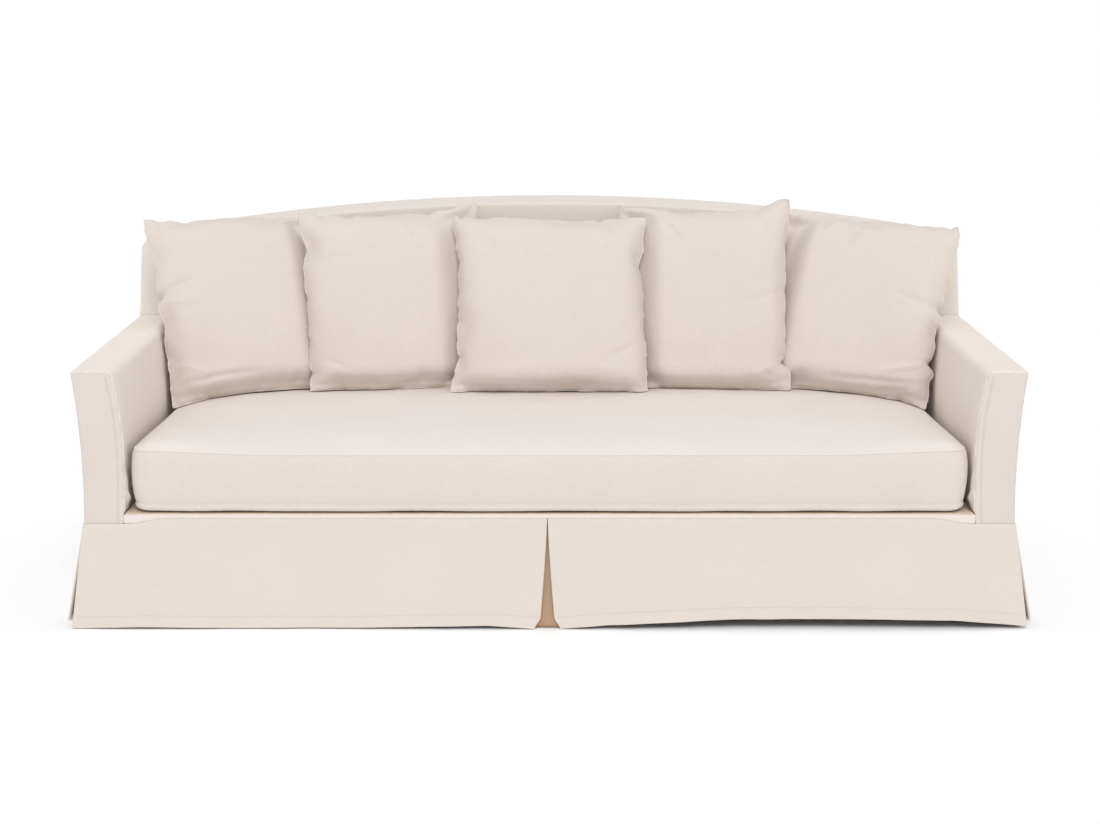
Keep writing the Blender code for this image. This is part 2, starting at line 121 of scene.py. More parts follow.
room = bpy.data.worlds.new("white studio")
bpy.context.scene.world = room
room.use_nodes = True
room.node_tree.nodes["Background"].inputs["Color"].default_value = linear(ROOM_TINT)
room.node_tree.nodes["Background"].inputs["Strength"].default_value = ROOM_LIGHT
bpy.context.scene.view_settings.view_transform = "Standard"

camera = bpy.data.cameras.new("studio_camera")
camera.lens = CAMERA_LENS
camera.clip_end = CAMERA_CLIP
camera_body = new_thing("studio_camera", camera)
camera_body.location = CAMERA_PLACE
camera_body.rotation_euler = (math.radians(90.0 - CAMERA_PITCH), 0.0, 0.0)
bpy.context.scene.camera = camera_body

# ------------------------------------------------------------------ outside back
# The rear panel of the fitted cover, in washed plain-woven linen and cotton.
# It hangs straight from the crowned top seam down to the skirt seam.
CLOTH = 0.0016          # what the woven cloth measures at its edges
FRONT = -0.468          # face of the arm fronts
REAR = 0.472            # face of this panel
ARM_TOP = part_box("arm_left_inside")[1].z
ARM_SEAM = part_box("arm_left_front")[0].z
DECK_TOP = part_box("seat_deck")[1].z
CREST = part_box("back_boxing")[1].z
ARM_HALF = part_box("arm_right_inside")[1].x
WAIST = ARM_HALF - 0.017    # half width outside the arms, at the narrowest
WAIST_Z = 0.370
SHOULDER = 1.138            # half width at the back's top corners
SHOULDER_ROUND = 0.030
BOW = 0.080                 # fall of the crowned top, times the square of x
SHOULDER_Z = CREST - BOW * SHOULDER ** 2 - SHOULDER_ROUND
SEAM_ROUND = 0.0055         # the cloth rounds over the frame at a sewn edge
SEAM_BITE = SEAM_ROUND * (1.0 - math.sqrt(0.5))
SEAM_PINCH = 0.0010         # and the stitches draw it in
SEAM_REACH = 0.0032
PUCKER = 0.0007             # small gathers start just off the stitches and fade
PUCKER_RUN = 0.020
PUCKER_START = 0.002
SEAM_HOLD = 0.045           # the cloth is held flat this near its edges
LINES_BY_SEAM = (0.0, 0.0013, 0.003, 0.0055, 0.009)

# One weave for the whole set: thick and thin threads both ways, and scattered
# slubs. The threads are 0.7 mm apart in the real cloth and are drawn at 2 mm,
# so that they show from across a room.
THREADS_PER_METRE = 480.0
THREAD_RUN = 26.0           # a thread keeps its thickness for about 40 mm
SLUBS_PER_METRE = 330.0
SLUB_RUN = 38.0
SLUB_EDGE = 0.07
SLUB_WEIGHT = 0.9
MOTTLE_PER_METRE = 5.0
THREAD_SHARE = 0.35         # of the tint, and the mottle has the same
TINT_LOW, TINT_HIGH = 0.30, 0.85
THREAD_RELIEF = 0.25


def add_node(tree, kind, settings=None, **links):
    """Adds a node, sets its properties, and fills or links its inputs. A link
    names an input with its spaces as underscores, or in_0, in_1 by number."""
    node = tree.nodes.new(kind)
    for key, value in (settings or {}).items():
        setattr(node, key, value)
    for key, value in links.items():
        number = key.startswith("in_")
        socket = node.inputs[int(key[3:]) if number else key.replace("_", " ")]
        if isinstance(value, bpy.types.NodeSocket):
            tree.links.new(value, socket)
        else:
            socket.default_value = value
    return node


def woven_linen(name, tone, shade, slub_share=0.66):
    """Washed linen and cotton: matt, with a faint sheen at grazing angles from
    its loose fibres, uneven threads both ways and scattered slubs."""
    cloth, shader = new_finish(name, Roughness=0.94, Specular_IOR_Level=0.25,
                               Sheen_Weight=0.10, Sheen_Roughness=0.55)
    tree = cloth.node_tree
    place = add_node(tree, "ShaderNodeUVMap", {"uv_map": "weave"}).outputs["UV"]
    strands = []
    for along, across, seed in (
        (THREAD_RUN, THREADS_PER_METRE, 3.0),
        (THREADS_PER_METRE, THREAD_RUN, 7.0),
        (SLUB_RUN, SLUBS_PER_METRE, 11.0),
        (MOTTLE_PER_METRE, MOTTLE_PER_METRE, 17.0),
    ):
        stretched = add_node(tree, "ShaderNodeMapping", Vector=place,
                             Location=(seed, seed, 0.0), Scale=(along, across, 1.0))
        strands.append(add_node(tree, "ShaderNodeTexNoise", {"noise_dimensions": "2D"},
                                Vector=stretched.outputs["Vector"], Scale=1.0, Detail=2.0,
                                Roughness=0.5).outputs["Fac"])
    weft, warp, thick, mottle = strands
    slub = add_node(tree, "ShaderNodeMapRange", {"interpolation_type": "SMOOTHSTEP"},
                    Value=thick, From_Min=slub_share,
                    From_Max=slub_share + SLUB_EDGE).outputs["Result"]
    both = add_node(tree, "ShaderNodeMath", {"operation": "ADD"}, in_0=weft, in_1=warp)
    weave = add_node(tree, "ShaderNodeMath", {"operation": "MULTIPLY_ADD"},
                     in_0=slub, in_1=SLUB_WEIGHT,
                     in_2=both.outputs["Value"]).outputs["Value"]
    part = add_node(tree, "ShaderNodeMath", {"operation": "MULTIPLY"},
                    in_0=weave, in_1=THREAD_SHARE)
    depth = add_node(tree, "ShaderNodeMath", {"operation": "MULTIPLY_ADD"},
                     in_0=mottle, in_1=THREAD_SHARE, in_2=part.outputs["Value"])
    tint = add_node(tree, "ShaderNodeMapRange", Value=depth.outputs["Value"],
                    From_Min=TINT_LOW, From_Max=TINT_HIGH)
    colour = add_node(tree, "ShaderNodeMix", {"data_type": "RGBA"},
                      Factor=tint.outputs["Result"],
                      in_6=linear(shade), in_7=linear(tone))
    tree.links.new(colour.outputs[2], shader.inputs["Base Color"])
    relief = add_node(tree, "ShaderNodeBump", Height=weave, Strength=THREAD_RELIEF,
                      Distance=0.0008)
    tree.links.new(relief.outputs["Normal"], shader.inputs["Normal"])
    return cloth


cover_linen = woven_linen("washed ecru linen, body", "#E6DED6", "#DFD5CB")


def outer_half(z):
    """Half width of the cover at a height, up the arms and then the back."""
    arm = WAIST + (ARM_HALF - WAIST) * ((z - WAIST_Z) / (ARM_TOP - WAIST_Z)) ** 2
    part = np.clip((z - ARM_TOP) / (SHOULDER_Z - ARM_TOP), 0.0, 1.0)
    return np.where(z <= ARM_TOP, arm, ARM_HALF + (SHOULDER - ARM_HALF) * part)


def back_top(x):
    """Height of the crowned back at x, with its round corners."""
    past = np.clip(np.abs(x) - (SHOULDER - SHOULDER_ROUND), 0.0, SHOULDER_ROUND)
    corner = SHOULDER_ROUND - np.sqrt(SHOULDER_ROUND ** 2 - past ** 2)
    return CREST - BOW * x * x - corner


def smooth(t):
    """A step from 0 to 1 with level ends."""
    t = np.clip(t, 0.0, 1.0)
    return t * t * (3.0 - 2.0 * t)


def bell(off, width):
    """A soft hump, 1 in the middle and fading at about its half width."""
    return np.exp(-(off / width) ** 2)


def by_seam(off, reach, start=PUCKER_START):
    """How much a seam's gathers show at a distance from it: none on the stitches,
    most just off them, and little past their reach."""
    return np.exp(-off / reach) * (1.0 - np.exp(-off / start))


def drift(x, y, seed):
    """A smooth uneven field with hills about one unit across, from -1 to 1."""
    dice = np.random.default_rng(seed)
    total = 0.0
    for _ in range(7):
        turn, wave, phase = dice.uniform(0.0, 1.0, 3)
        turn, phase = 2.0 * np.pi * turn, 2.0 * np.pi * phase
        ahead = x * np.cos(turn) + y * np.sin(turn)
        total = total + np.sin((2.2 + 4.2 * wave) * ahead + phase)
    return total / 3.4


def stations(length, step):
    """Parts of the way along a length, closer together by the seams at its ends."""
    near = [c for c in LINES_BY_SEAM if c < 0.25 * length]
    cells = max(round((length - 2.0 * near[-1]) / step), 1)
    middle = np.linspace(near[-1], length - near[-1], cells + 1)[1:-1]
    return np.array([*near, *middle, *(length - c for c in reversed(near))]) / length


def soft_fold(across, along, row):
    """One given fold: a soft ridge or trough from one place to another."""
    x0, y0, x1, y1, width, depth = row
    length = math.hypot(x1 - x0, y1 - y0)
    ahead = ((across - x0) * (x1 - x0) + (along - y0) * (y1 - y0)) / length ** 2
    aside = ((along - y0) * (x1 - x0) - (across - x0) * (y1 - y0)) / length
    bend = 0.35 * width * np.sin(3.5 * ahead)
    fade = np.sin(np.pi * np.clip(ahead, 0.0, 1.0)) ** 0.8
    return depth * fade * bell(aside - bend, width)


def grid_normals(points, outward):
    """Unit normals of a grid of points, on the side that outward faces."""
    normal = np.cross(np.gradient(points, axis=1), np.gradient(points, axis=0))
    normal /= np.maximum(np.linalg.norm(normal, axis=2, keepdims=True), 1e-12)
    facing = np.sum(normal.mean(axis=(0, 1)) * np.array(outward))
    return normal if facing >= 0.0 else -normal


def woven_mesh(name, points, cells, flat, material):
    """A smooth piece from points, its four-cornered cells, and each point's
    place on the flat cloth in metres, which becomes its UV map."""
    mesh = bpy.data.meshes.new(name)
    mesh.from_pydata(points.tolist(), [], cells.tolist())
    layer = mesh.uv_layers.new(name="weave")
    corners = np.empty(len(mesh.loops), dtype=np.int32)
    mesh.loops.foreach_get("vertex_index", corners)
    layer.data.foreach_set("uv", flat[corners].astype(np.float32).ravel())
    mesh.materials.append(material)
    mesh.shade_smooth()
    return new_thing(name, mesh)


def grid_cells(number):
    """The four corners of each cell of a grid of numbered points, in turn."""
    return np.stack([number[:-1, :-1], number[:-1, 1:], number[1:, 1:], number[1:, :-1]],
                    axis=-1)


def cloth_layer(name, points, flat, outward, material, keep=None):
    """One layer of cloth through a grid of points, with the cloth's thickness
    behind the face that shows. keep marks the cells that are not cut away."""
    rows, columns = points.shape[:2]
    cells = grid_cells(np.arange(rows * columns).reshape(rows, columns))
    normal = np.cross(np.gradient(points, axis=1), np.gradient(points, axis=0))
    if np.sum(normal.mean(axis=(0, 1)) * np.array(outward)) < 0.0:
        cells = cells[..., ::-1]
    cells = cells.reshape(-1, 4) if keep is None else cells[keep]
    used, cells = np.unique(cells, return_inverse=True)
    piece = woven_mesh(name, points.reshape(-1, 3)[used], cells.reshape(-1, 4),
                       flat.reshape(-1, 2)[used], material)
    layer = piece.modifiers.new("cloth thickness", "SOLIDIFY")
    layer.thickness = CLOTH
    layer.offset = -1.0
    return piece


laid = {}                   # each panel's points and the way it faces, to sew on


def panel(name, surface, size, outward, edges, material, node,
          ease=0.0015, seed=1, folds=(), step=0.008, turned=False,
          rounding=None, keep=None):
    """One cut panel. surface(u, v) gives its place from 0 to 1 both ways. edges
    names its left, right, bottom and top edge: corner, where it meets a panel
    square to it, or flat, where it meets one in line with it. ease is how far
    the cloth wanders off its surface, and folds are rows for soft_fold."""
    width, height = size
    kinds = dict(zip(("left", "right", "bottom", "top"), edges.split()))
    bite = {side: SEAM_BITE if kind == "corner" else 0.0 for side, kind in kinds.items()}
    inner_width = width - bite["left"] - bite["right"]
    inner_height = height - bite["bottom"] - bite["top"]
    u = (bite["left"] + stations(width, step) * inner_width) / width
    v = (bite["bottom"] + stations(height, step) * inner_height) / height
    u, v = np.meshgrid(u, v)
    away = {"left": u * width, "right": (1.0 - u) * width,
            "bottom": v * height, "top": (1.0 - v) * height}
    inward = np.zeros_like(u)
    for number, (side, kind) in enumerate(kinds.items()):
        off = away[side]
        run = v * height if side in ("left", "right") else u * width
        if kind == "corner":
            radius = SEAM_ROUND * (rounding(side, u, v) if rounding else 1.0) + 1e-6
            close = np.clip(radius - off, 0.0, radius)
            inward += radius - np.sqrt(radius ** 2 - close ** 2)
        gather = drift(run / PUCKER_RUN, off / 0.05, seed + 7 * number)
        inward += SEAM_PINCH * bell(off, SEAM_REACH)
        inward += PUCKER * gather * by_seam(off, 0.014)
    edge = np.minimum.reduce(list(away.values()))
    hold = 1.0 - bell(edge, SEAM_HOLD)
    points = np.stack(surface(u, v), axis=-1)
    lift = ease * hold * drift(u * width / 0.30, v * height / 0.30, seed)
    lift += 0.35 * ease * hold * drift(u * width / 0.09, v * height / 0.09, seed + 50)
    for row in folds:
        lift += soft_fold(u * width, v * height, row)
    points = points + grid_normals(points, outward) * (lift - inward)[..., None]
    laid[name] = points, np.array(outward, dtype=float)
    ways = [v * height, u * width] if turned else [u * width, v * height]
    flat = np.stack(ways, axis=-1)
    cell_u, cell_v = (0.5 * (k[:-1, :-1] + k[1:, 1:]) for k in (u, v))
    kept = keep(cell_u, cell_v) if keep else None
    piece = cloth_layer(name, points, flat, outward, material, kept)
    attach(piece, "root")
    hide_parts(node)


def outside_back_face(u, v):
    across = 2.0 * u - 1.0
    z = ARM_SEAM + (back_top(across * SHOULDER) - ARM_SEAM) * v
    slack = 0.003 * np.sin(np.pi * v) * (1.0 - across ** 4)
    return across * outer_half(z), REAR + slack, z


back_height = CREST - ARM_SEAM
panel("outside_back", outside_back_face, (2.0 * ARM_HALF, back_height), (0, 1, 0),
      "corner corner flat corner", cover_linen, "back_outside", ease=0.0022, seed=11,
      step=0.016, folds=(
          # from x, up, to x, up, half width, height
          (0.30, 0.10, 0.42, 0.60, 0.030, 0.0030),
          (1.95, 0.12, 1.86, 0.56, 0.035, 0.0026),
          (1.15, 0.02, 1.10, 0.30, 0.022, -0.0020)))

# ------------------------------------------------------------------ back boxing
# The band round the back, in the same cloth: one strip over the crowned top and
# one down each side, sewn to it at the round corner.
BACK_FOOT_Y = 0.312
BACK_RECLINE = 0.064        # the inside back leans this much for each metre up
TOP_SLOPE = 0.009           # the strip falls this much towards the front
CORNER_X = SHOULDER - SHOULDER_ROUND
SIDES = ((-1, "left"), (1, "right"))


def inside_back_y(z):
    return BACK_FOOT_Y + BACK_RECLINE * (z - DECK_TOP)


def boxing_face(x, z, slope, v):
    """Across a strip of the band, from its rear seam to its front seam."""
    z = z - slope * v
    return x, REAR + (inside_back_y(z) - REAR) * v, z


def top_strip_face(u, v):
    x = (2.0 * u - 1.0) * CORNER_X
    return boxing_face(x, back_top(x), TOP_SLOPE, v)


band_depth = REAR - inside_back_y(CREST)
panel("boxing_top", top_strip_face, (2.0 * CORNER_X, band_depth), (0, 0, 1),
      "flat flat corner corner", cover_linen, "back_boxing", ease=0.0009, seed=21,
      step=0.009)
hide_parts("back_boxing_left", "back_boxing_right")

arc_length = 0.5 * math.pi * SHOULDER_ROUND
side_length = arc_length + SHOULDER_Z - ARM_TOP + 0.005


def side_strip(side, word):
    """The strip down one side, which begins with the round corner."""
    def face(u, v):
        down = u * side_length
        angle = np.clip(down / SHOULDER_ROUND, 0.0, 0.5 * np.pi)
        arc_x = CORNER_X + SHOULDER_ROUND * np.sin(angle)
        z = np.where(down < arc_length, back_top(arc_x), SHOULDER_Z + arc_length - down)
        x = np.where(down < arc_length, arc_x, outer_half(z))
        slope = TOP_SLOPE * (1.0 - smooth((down - 0.5 * arc_length) / arc_length))
        return boxing_face(side * x, z, slope, v)

    panel(f"boxing_side_{word}", face, (side_length, band_depth), (side, 0, 0.3),
          "flat flat corner corner", cover_linen, f"back_side_{word}", ease=0.0008,
          seed=25 + side, step=0.006)


for side, word in SIDES:
    side_strip(side, word)

# ------------------------------------------------------------------ inside back
# The panel that the pillows lean on, cut to a T: narrow between the arms and
# full width above them. Its top and upper sides are sewn to the band.
INNER_WAIST = 1.029         # half width between the arms, at the narrowest
INNER_WAIST_Z = 0.430
INNER_FLARE = 0.0217
INNER_FOOT_FLARE = 0.010
ARM_ROUND = 0.021           # rounded inner edge of the arm tops
# The inside back is painted a little lighter than the body cloth: painted light to offset
# the shade of the pillows in front of it.
inside_back_lit_linen = woven_linen("ecru linen, inside back, lightened as painted light", "#E8E0D7", "#E1D8CD")


def inner_half(z):
    """Half width between the inside arms, with their rounded top edge."""
    low = np.minimum(z, ARM_TOP - ARM_ROUND)
    flare = np.where(z > INNER_WAIST_Z, INNER_FLARE, INNER_FOOT_FLARE)
    half = INNER_WAIST + flare * ((low - INNER_WAIST_Z) / (ARM_TOP - INNER_WAIST_Z)) ** 2
    rise = np.clip(z - low, 0.0, ARM_ROUND)
    return half + ARM_ROUND - np.sqrt(ARM_ROUND ** 2 - rise ** 2)


def inside_back_face(u, v):
    across = 2.0 * u - 1.0
    top = back_top(across * SHOULDER) - TOP_SLOPE
    z = DECK_TOP + (top - DECK_TOP) * v
    x = across * outer_half(np.maximum(z, ARM_TOP))
    puff = 0.003 * np.cos(0.5 * np.pi * across) * np.sin(np.pi * v)
    return x, inside_back_y(z) - puff, z


def above_or_between_arms(u, v):
    x, _, z = inside_back_face(u, v)
    return (z > ARM_TOP - 0.008) | (np.abs(x) < inner_half(ARM_TOP - ARM_ROUND) - 0.004)


inside_height = CREST - TOP_SLOPE - DECK_TOP
panel("inside_back", inside_back_face, (2.0 * SHOULDER, inside_height), (0, -1, 0),
      "corner corner flat corner", inside_back_lit_linen, "back_inside", ease=0.0016, seed=31,
      step=0.012, keep=above_or_between_arms)

# ------------------------------------------------------------------ arms
# Each arm is three panels: the inside one, which also makes the top and turns
# over a rounded inner edge, the flat outside one, and the narrow front, whose
# seam stands up a little all round.
# The arms are one cloth in two tones: the inside panel, which also makes the top, is
# painted lighter as painted light, and the front and outside panels darker as painted
# shade.
arm_shaded_linen = woven_linen("washed ecru linen, arms", "#DCD3CB", "#D5CAC1")
arm_top_lit_linen = woven_linen("washed ecru linen, inside arms", "#F0E7DE", "#E9DFD4")
ARM_PUFF = 0.004
ARM_FRONT_MIDDLE = 0.45     # the height at which an arm front's width is taken
SEAM_EASE = 0.02            # the outside seam goes flat over this run at the back

# Folds and crumples: from here, to here, half width, height. The inside panel is
# measured from the outer edge of the arm top and from the front seam.
INSIDE_ARM_FOLDS = (
    (0.30, 0.02, 0.44, 0.15, 0.010, 0.0030), (0.36, 0.01, 0.45, 0.08, 0.007, -0.0025),
    (0.16, 0.55, 0.36, 0.70, 0.020, 0.0022), (0.34, 0.012, 0.445, 0.026, 0.006, 0.0065),
    (0.37, 0.034, 0.440, 0.046, 0.006, -0.0050),
    (0.39, 0.004, 0.445, 0.050, 0.005, 0.0070))
OUTSIDE_ARM_FOLDS = (
    (0.10, 0.05, 0.20, 0.30, 0.018, 0.0018), (0.78, 0.06, 0.70, 0.33, 0.025, 0.0020))
# The groove beside the front's inner seam, and the low ridge next to it
FRONT_ARM_FOLDS = (
    (0.0156, -0.03, 0.0156, 0.42, 0.0024, -0.0011),
    (0.0100, -0.03, 0.0100, 0.42, 0.0034, 0.0008))


def way_along(line):
    """How far along a line of places in a plane each of them lies."""
    return np.concatenate([[0.0], np.cumsum(np.hypot(*np.diff(line, axis=0).T))])


section_z = np.concatenate([
    np.full(2, ARM_TOP),
    ARM_TOP - ARM_ROUND + ARM_ROUND * np.cos(np.linspace(0.1, 0.5 * np.pi, 14)),
    np.linspace(ARM_TOP - ARM_ROUND, DECK_TOP, 24)[1:]])
section_x = inner_half(section_z)
section_x[0] = ARM_HALF
section_run = way_along(np.column_stack([section_x, section_z]))
arm_depth = inside_back_y(ARM_TOP) - FRONT


def arm(side, word):
    def inside_face(u, v):
        run = u * section_run[-1]
        x = np.interp(run, section_run, section_x)
        z = np.interp(run, section_run, section_z)
        return side * x, FRONT + (inside_back_y(z) - FRONT) * v, z

    panel(f"arm_{word}_inside_cloth", inside_face, (section_run[-1], arm_depth),
          (-side, 0, 0.4), "corner flat corner flat", arm_top_lit_linen,
          f"arm_{word}_inside", ease=0.0016, seed=41 + side, step=0.007,
          folds=INSIDE_ARM_FOLDS)

    def outside_face(u, v):
        z = ARM_SEAM + (ARM_TOP - ARM_SEAM) * v
        return side * outer_half(z), FRONT + (REAR - FRONT) * u, z

    def along_arm(edge, u, v):
        """The top seam is round beside the arm top, and flat beside the back."""
        if edge != "top":
            return np.ones_like(u)
        return 1.0 - smooth(((REAR - FRONT) * u - arm_depth) / SEAM_EASE + 0.5)

    panel(f"arm_{word}_outside_cloth", outside_face, (REAR - FRONT, ARM_TOP - ARM_SEAM),
          (side, 0, 0), "corner corner flat corner", arm_shaded_linen, f"arm_{word}_outside",
          ease=0.0020, seed=51 + side, step=0.010, turned=True, rounding=along_arm,
          folds=OUTSIDE_ARM_FOLDS)

    def front_face(u, v):
        z = ARM_SEAM + (ARM_TOP - ARM_SEAM) * v
        x = inner_half(z) + (outer_half(z) - inner_half(z)) * u
        puff = ARM_PUFF * np.sin(np.pi * u) * np.sin(np.pi * v)
        return side * x, FRONT - puff, z

    front_width = float(outer_half(ARM_FRONT_MIDDLE) - inner_half(ARM_FRONT_MIDDLE))
    panel(f"arm_{word}_front_cloth", front_face, (front_width, ARM_TOP - ARM_SEAM),
          (0, -1, 0), "corner corner flat corner", arm_shaded_linen, f"arm_{word}_front",
          ease=0.0011, seed=61 + side, step=0.003, turned=True, folds=FRONT_ARM_FOLDS)


for side, word in SIDES:
    arm(side, word)

# ------------------------------------------------------------------ deck and rail
# The deck is the flat platform under the seat cushion. The rail is the narrow
# strip that drops from its front edge to the skirt seam.
RAIL_SEAM = 0.270
RAIL_SEAM_ENDS = (0.93, 1.03)


def seam_z(x):
    """Height of the skirt seam along the front; it steps down to the arms."""
    low, high = RAIL_SEAM_ENDS
    return RAIL_SEAM + (ARM_SEAM - RAIL_SEAM) * smooth((np.abs(x) - low) / (high - low))


# The deck is painted browner than the body cloth: painted shade for the dark strip under
# the cushion's front edge.
deck_shade_linen = woven_linen("ecru linen, deck, browned as painted shade", "#D8C8B4", "#CEBCA6")
deck_half = float(inner_half(DECK_TOP))
rail_half = deck_half + 0.003
deck_depth = BACK_FOOT_Y - FRONT


def deck_face(u, v):
    return (2.0 * u - 1.0) * deck_half, FRONT + deck_depth * v, np.full_like(u, DECK_TOP)


panel("deck_cloth", deck_face, (2.0 * deck_half, deck_depth), (0, 0, 1),
      "flat flat corner flat", deck_shade_linen, "seat_deck", ease=0.0006,
      seed=71, step=0.02)


def rail_face(u, v):
    x = (2.0 * u - 1.0) * rail_half
    return x, np.full_like(u, FRONT), seam_z(x) + (DECK_TOP - seam_z(x)) * v


panel("front_rail_cloth", rail_face, (2.0 * rail_half, DECK_TOP - RAIL_SEAM), (0, -1, 0),
      "flat flat flat corner", cover_linen, "front_rail", ease=0.0004, seed=72,
      step=0.006)

# ------------------------------------------------------------------ skirt
# Five flat panels that hang to the floor from the skirt seam, pressed and then
# folded back behind themselves at the kick pleats: one in the middle of the
# front and one at each corner. Each hem is turned up and sewn.
# The skirt is painted a tone darker than the body cloth: painted shade on its upright
# faces.
skirt_shaded_linen = woven_linen("ecru linen, skirt, darkened as painted shade", "#DDD4CB", "#D6CCC1")
SKIRT_PROUD = 0.0025
FRONT_KICK = 0.0295         # how far each hem stands out past its seam
SIDE_KICK = 0.057
REAR_KICK = 0.030
FRONT_CUT = 0.033           # the panels widen this much to the hem at a corner
SIDE_CUT = 0.026
CORNER_STEP = 0.006
SEAM_HALF = float(outer_half(ARM_SEAM))
PLEAT_X = -0.005            # the centre-front pleat
PLEAT_SPREAD = 0.018
TIP_FLICK = 0.012
FOLD = 0.006
RETURN = 0.045
HEM_DEPTH = 0.028
HEM_GROOVE = 0.0005         # the hem's stitches draw the cloth in
SEAM_SINK = 0.0008
REAR_LIFT = 0.004
SKIRT_SWAY = 0.0035         # how far the hanging cloth waves in and out: a long
SKIRT_DRIFT = 0.0016        # even wave, an uneven one, and short ripples
SKIRT_RIPPLE = 0.0009

# The front hem is uneven: at each x, its height above the floor
HEM = ((-1.17, 0.0), (-1.0, 0.004), (-0.78, 0.001), (-0.48, 0.002), (-0.15, 0.008),
       (-0.04, 0.0), (0.03, 0.0), (0.14, 0.009), (0.29, 0.016), (0.44, 0.023),
       (0.74, 0.024), (0.99, 0.021), (1.17, 0.006))


def front_y(t):
    """Where the face of the front skirt is, t down from its seam to its hem."""
    return FRONT - SKIRT_PROUD - FRONT_KICK * t


def corner_x(side, t):
    return side * (SEAM_HALF + 0.002 + FRONT_CUT * t)


def front_corner(side, t):
    """Where the front skirt turns back at a corner, in plan."""
    return corner_x(side, t), front_y(t)


def side_corner(side, end, t):
    """Where a side skirt turns back: end is -1 at the front and 1 at the rear."""
    inset = CORNER_STEP + SIDE_CUT * t
    y = FRONT + inset if end < 0 else REAR - inset
    return side * (SEAM_HALF + SKIRT_PROUD + SIDE_KICK * t), y


def rear_corner(side, t):
    return corner_x(side, t), REAR + SKIRT_PROUD + REAR_KICK * t


def centre_fold(side, t):
    """The front skirt's fold beside the centre pleat, with its turned-out tip."""
    tip = TIP_FLICK * smooth((t - 0.90) / 0.10)
    x = PLEAT_X + side * (0.0005 + PLEAT_SPREAD * t ** 1.3 + tip)
    return x, front_y(t) - 0.3 * tip


def hem_z(x, front):
    return np.interp(x, *zip(*HEM)) if front else REAR_LIFT


def skirt(name, node, start, end, outward, seed, front=False, step=0.008):
    """A panel between two lines, start(t) and end(t), where it turns back in a
    narrow bend to its cut edges behind. outward is the way it faces, in plan."""
    out = np.array(outward, dtype=float)
    top = RAIL_SEAM if front else ARM_SEAM
    length = math.dist(start(0.5), end(0.5))
    bend = 0.5 * FOLD
    bend_run = math.pi * bend
    back = RETURN - bend
    path = length - 2.0 * bend + 2.0 * (bend_run + back)
    near = np.concatenate([np.linspace(0.0, back, 6)[:-1],
                           back + np.linspace(0.0, bend_run, 9)])
    turn = near[-1]
    middle = turn + (path - 2.0 * turn) * np.linspace(0.0, 1.0, round(length / step) + 1)
    run = np.concatenate([near[:-1], middle, path - near[-2::-1]])
    down = stations(top, 0.008)
    run, t = np.meshgrid(run, down)
    a = np.moveaxis(np.array(np.broadcast_arrays(*start(t))), 0, -1)
    b = np.moveaxis(np.array(np.broadcast_arrays(*end(t))), 0, -1)
    real = np.linalg.norm(b - a, axis=-1)
    along = (b - a) / real[..., None]

    def bent(distance):
        """Place along and behind the face, at a distance in from the cut edge."""
        angle = np.clip((distance - back) / bend, 0.0, np.pi)
        on_return = back - np.minimum(distance, back)
        return bend + on_return - bend * np.sin(angle), -bend - bend * np.cos(angle)

    left_along, left_behind = bent(run)
    right_along, right_behind = bent(path - run)
    face = np.clip((run - turn) / (path - 2.0 * turn), 0.0, 1.0)
    at_start, at_end = run < turn, run > path - turn
    place = np.where(at_start, left_along,
                     np.where(at_end, real - right_along,
                              bend + face * (real - 2.0 * bend)))
    behind = np.where(at_start, left_behind, np.where(at_end, right_behind, 0.0))
    fall = t * top
    hung = SKIRT_SWAY * t * np.sin(3.0 * np.pi * face)
    hung += SKIRT_DRIFT * np.sqrt(t) * drift(run / 0.26, fall / 0.40, seed + 3)
    wave = hung * np.sin(np.pi * face)
    wave += SKIRT_RIPPLE * t ** 2 * drift(run / 0.07, fall / 0.15, seed + 5)
    wave -= HEM_GROOVE * bell((1.0 - t) * top - HEM_DEPTH, 0.0025)
    wave += PUCKER * drift(run / PUCKER_RUN, fall / 0.06, seed) * by_seam(fall, 0.018)
    wave -= (SKIRT_PROUD + SEAM_SINK) * bell(fall, 0.0045)
    plan = a + along * place[..., None] + out * (behind + wave)[..., None]
    seam = seam_z(plan[..., 0]) if front else top
    z = seam + (hem_z(plan[..., 0], front) - seam) * t
    points = np.concatenate([plan, z[..., None]], axis=-1)
    laid[name] = points[:, len(near):-len(near)], np.array((*outward, 0.0))
    flat = np.stack([run, (1.0 - t) * top], axis=-1)
    piece = cloth_layer(name, points, flat, (*outward, 0.0), skirt_shaded_linen)
    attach(piece, "root")
    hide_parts(node)


skirt("skirt_front_left_cloth", "skirt_front_left", lambda t: front_corner(-1, t),
      lambda t: centre_fold(-1, t), (0.0, -1.0), 81, front=True, step=0.007)
skirt("skirt_front_right_cloth", "skirt_front_right", lambda t: centre_fold(1, t),
      lambda t: front_corner(1, t), (0.0, -1.0), 82, front=True, step=0.007)
skirt("skirt_back_cloth", "skirt_back", lambda t: rear_corner(-1, t),
      lambda t: rear_corner(1, t), (0.0, 1.0), 83, step=0.012)
for side, word in SIDES:
    skirt(f"skirt_{word}_cloth", f"skirt_{word}", lambda t: side_corner(side, -1, t),
          lambda t: side_corner(side, 1, t), (float(side), 0.0), 84 + side)

# ------------------------------------------------------------------ pleat underlays
# A strip of linen behind each pleat, so that nothing shows through it: flat
# behind the centre one, and bent round the corner behind the others. The centre
# one is painted a dark brown: painted shade for the deep slit of the pleat.
centre_slit_shade_linen = woven_linen("ecru linen, centre underlay, browned as painted shade", "#B79A7F", "#AD8F72")
SETBACK = 0.0095
UNDERLAY_REACH = 0.065
UNDERLAY_SHORT = 0.001      # it ends this far inside the skirt's seam and hem
UNDERLAY_ROWS = 34
UNDERLAY_COLUMNS = 49


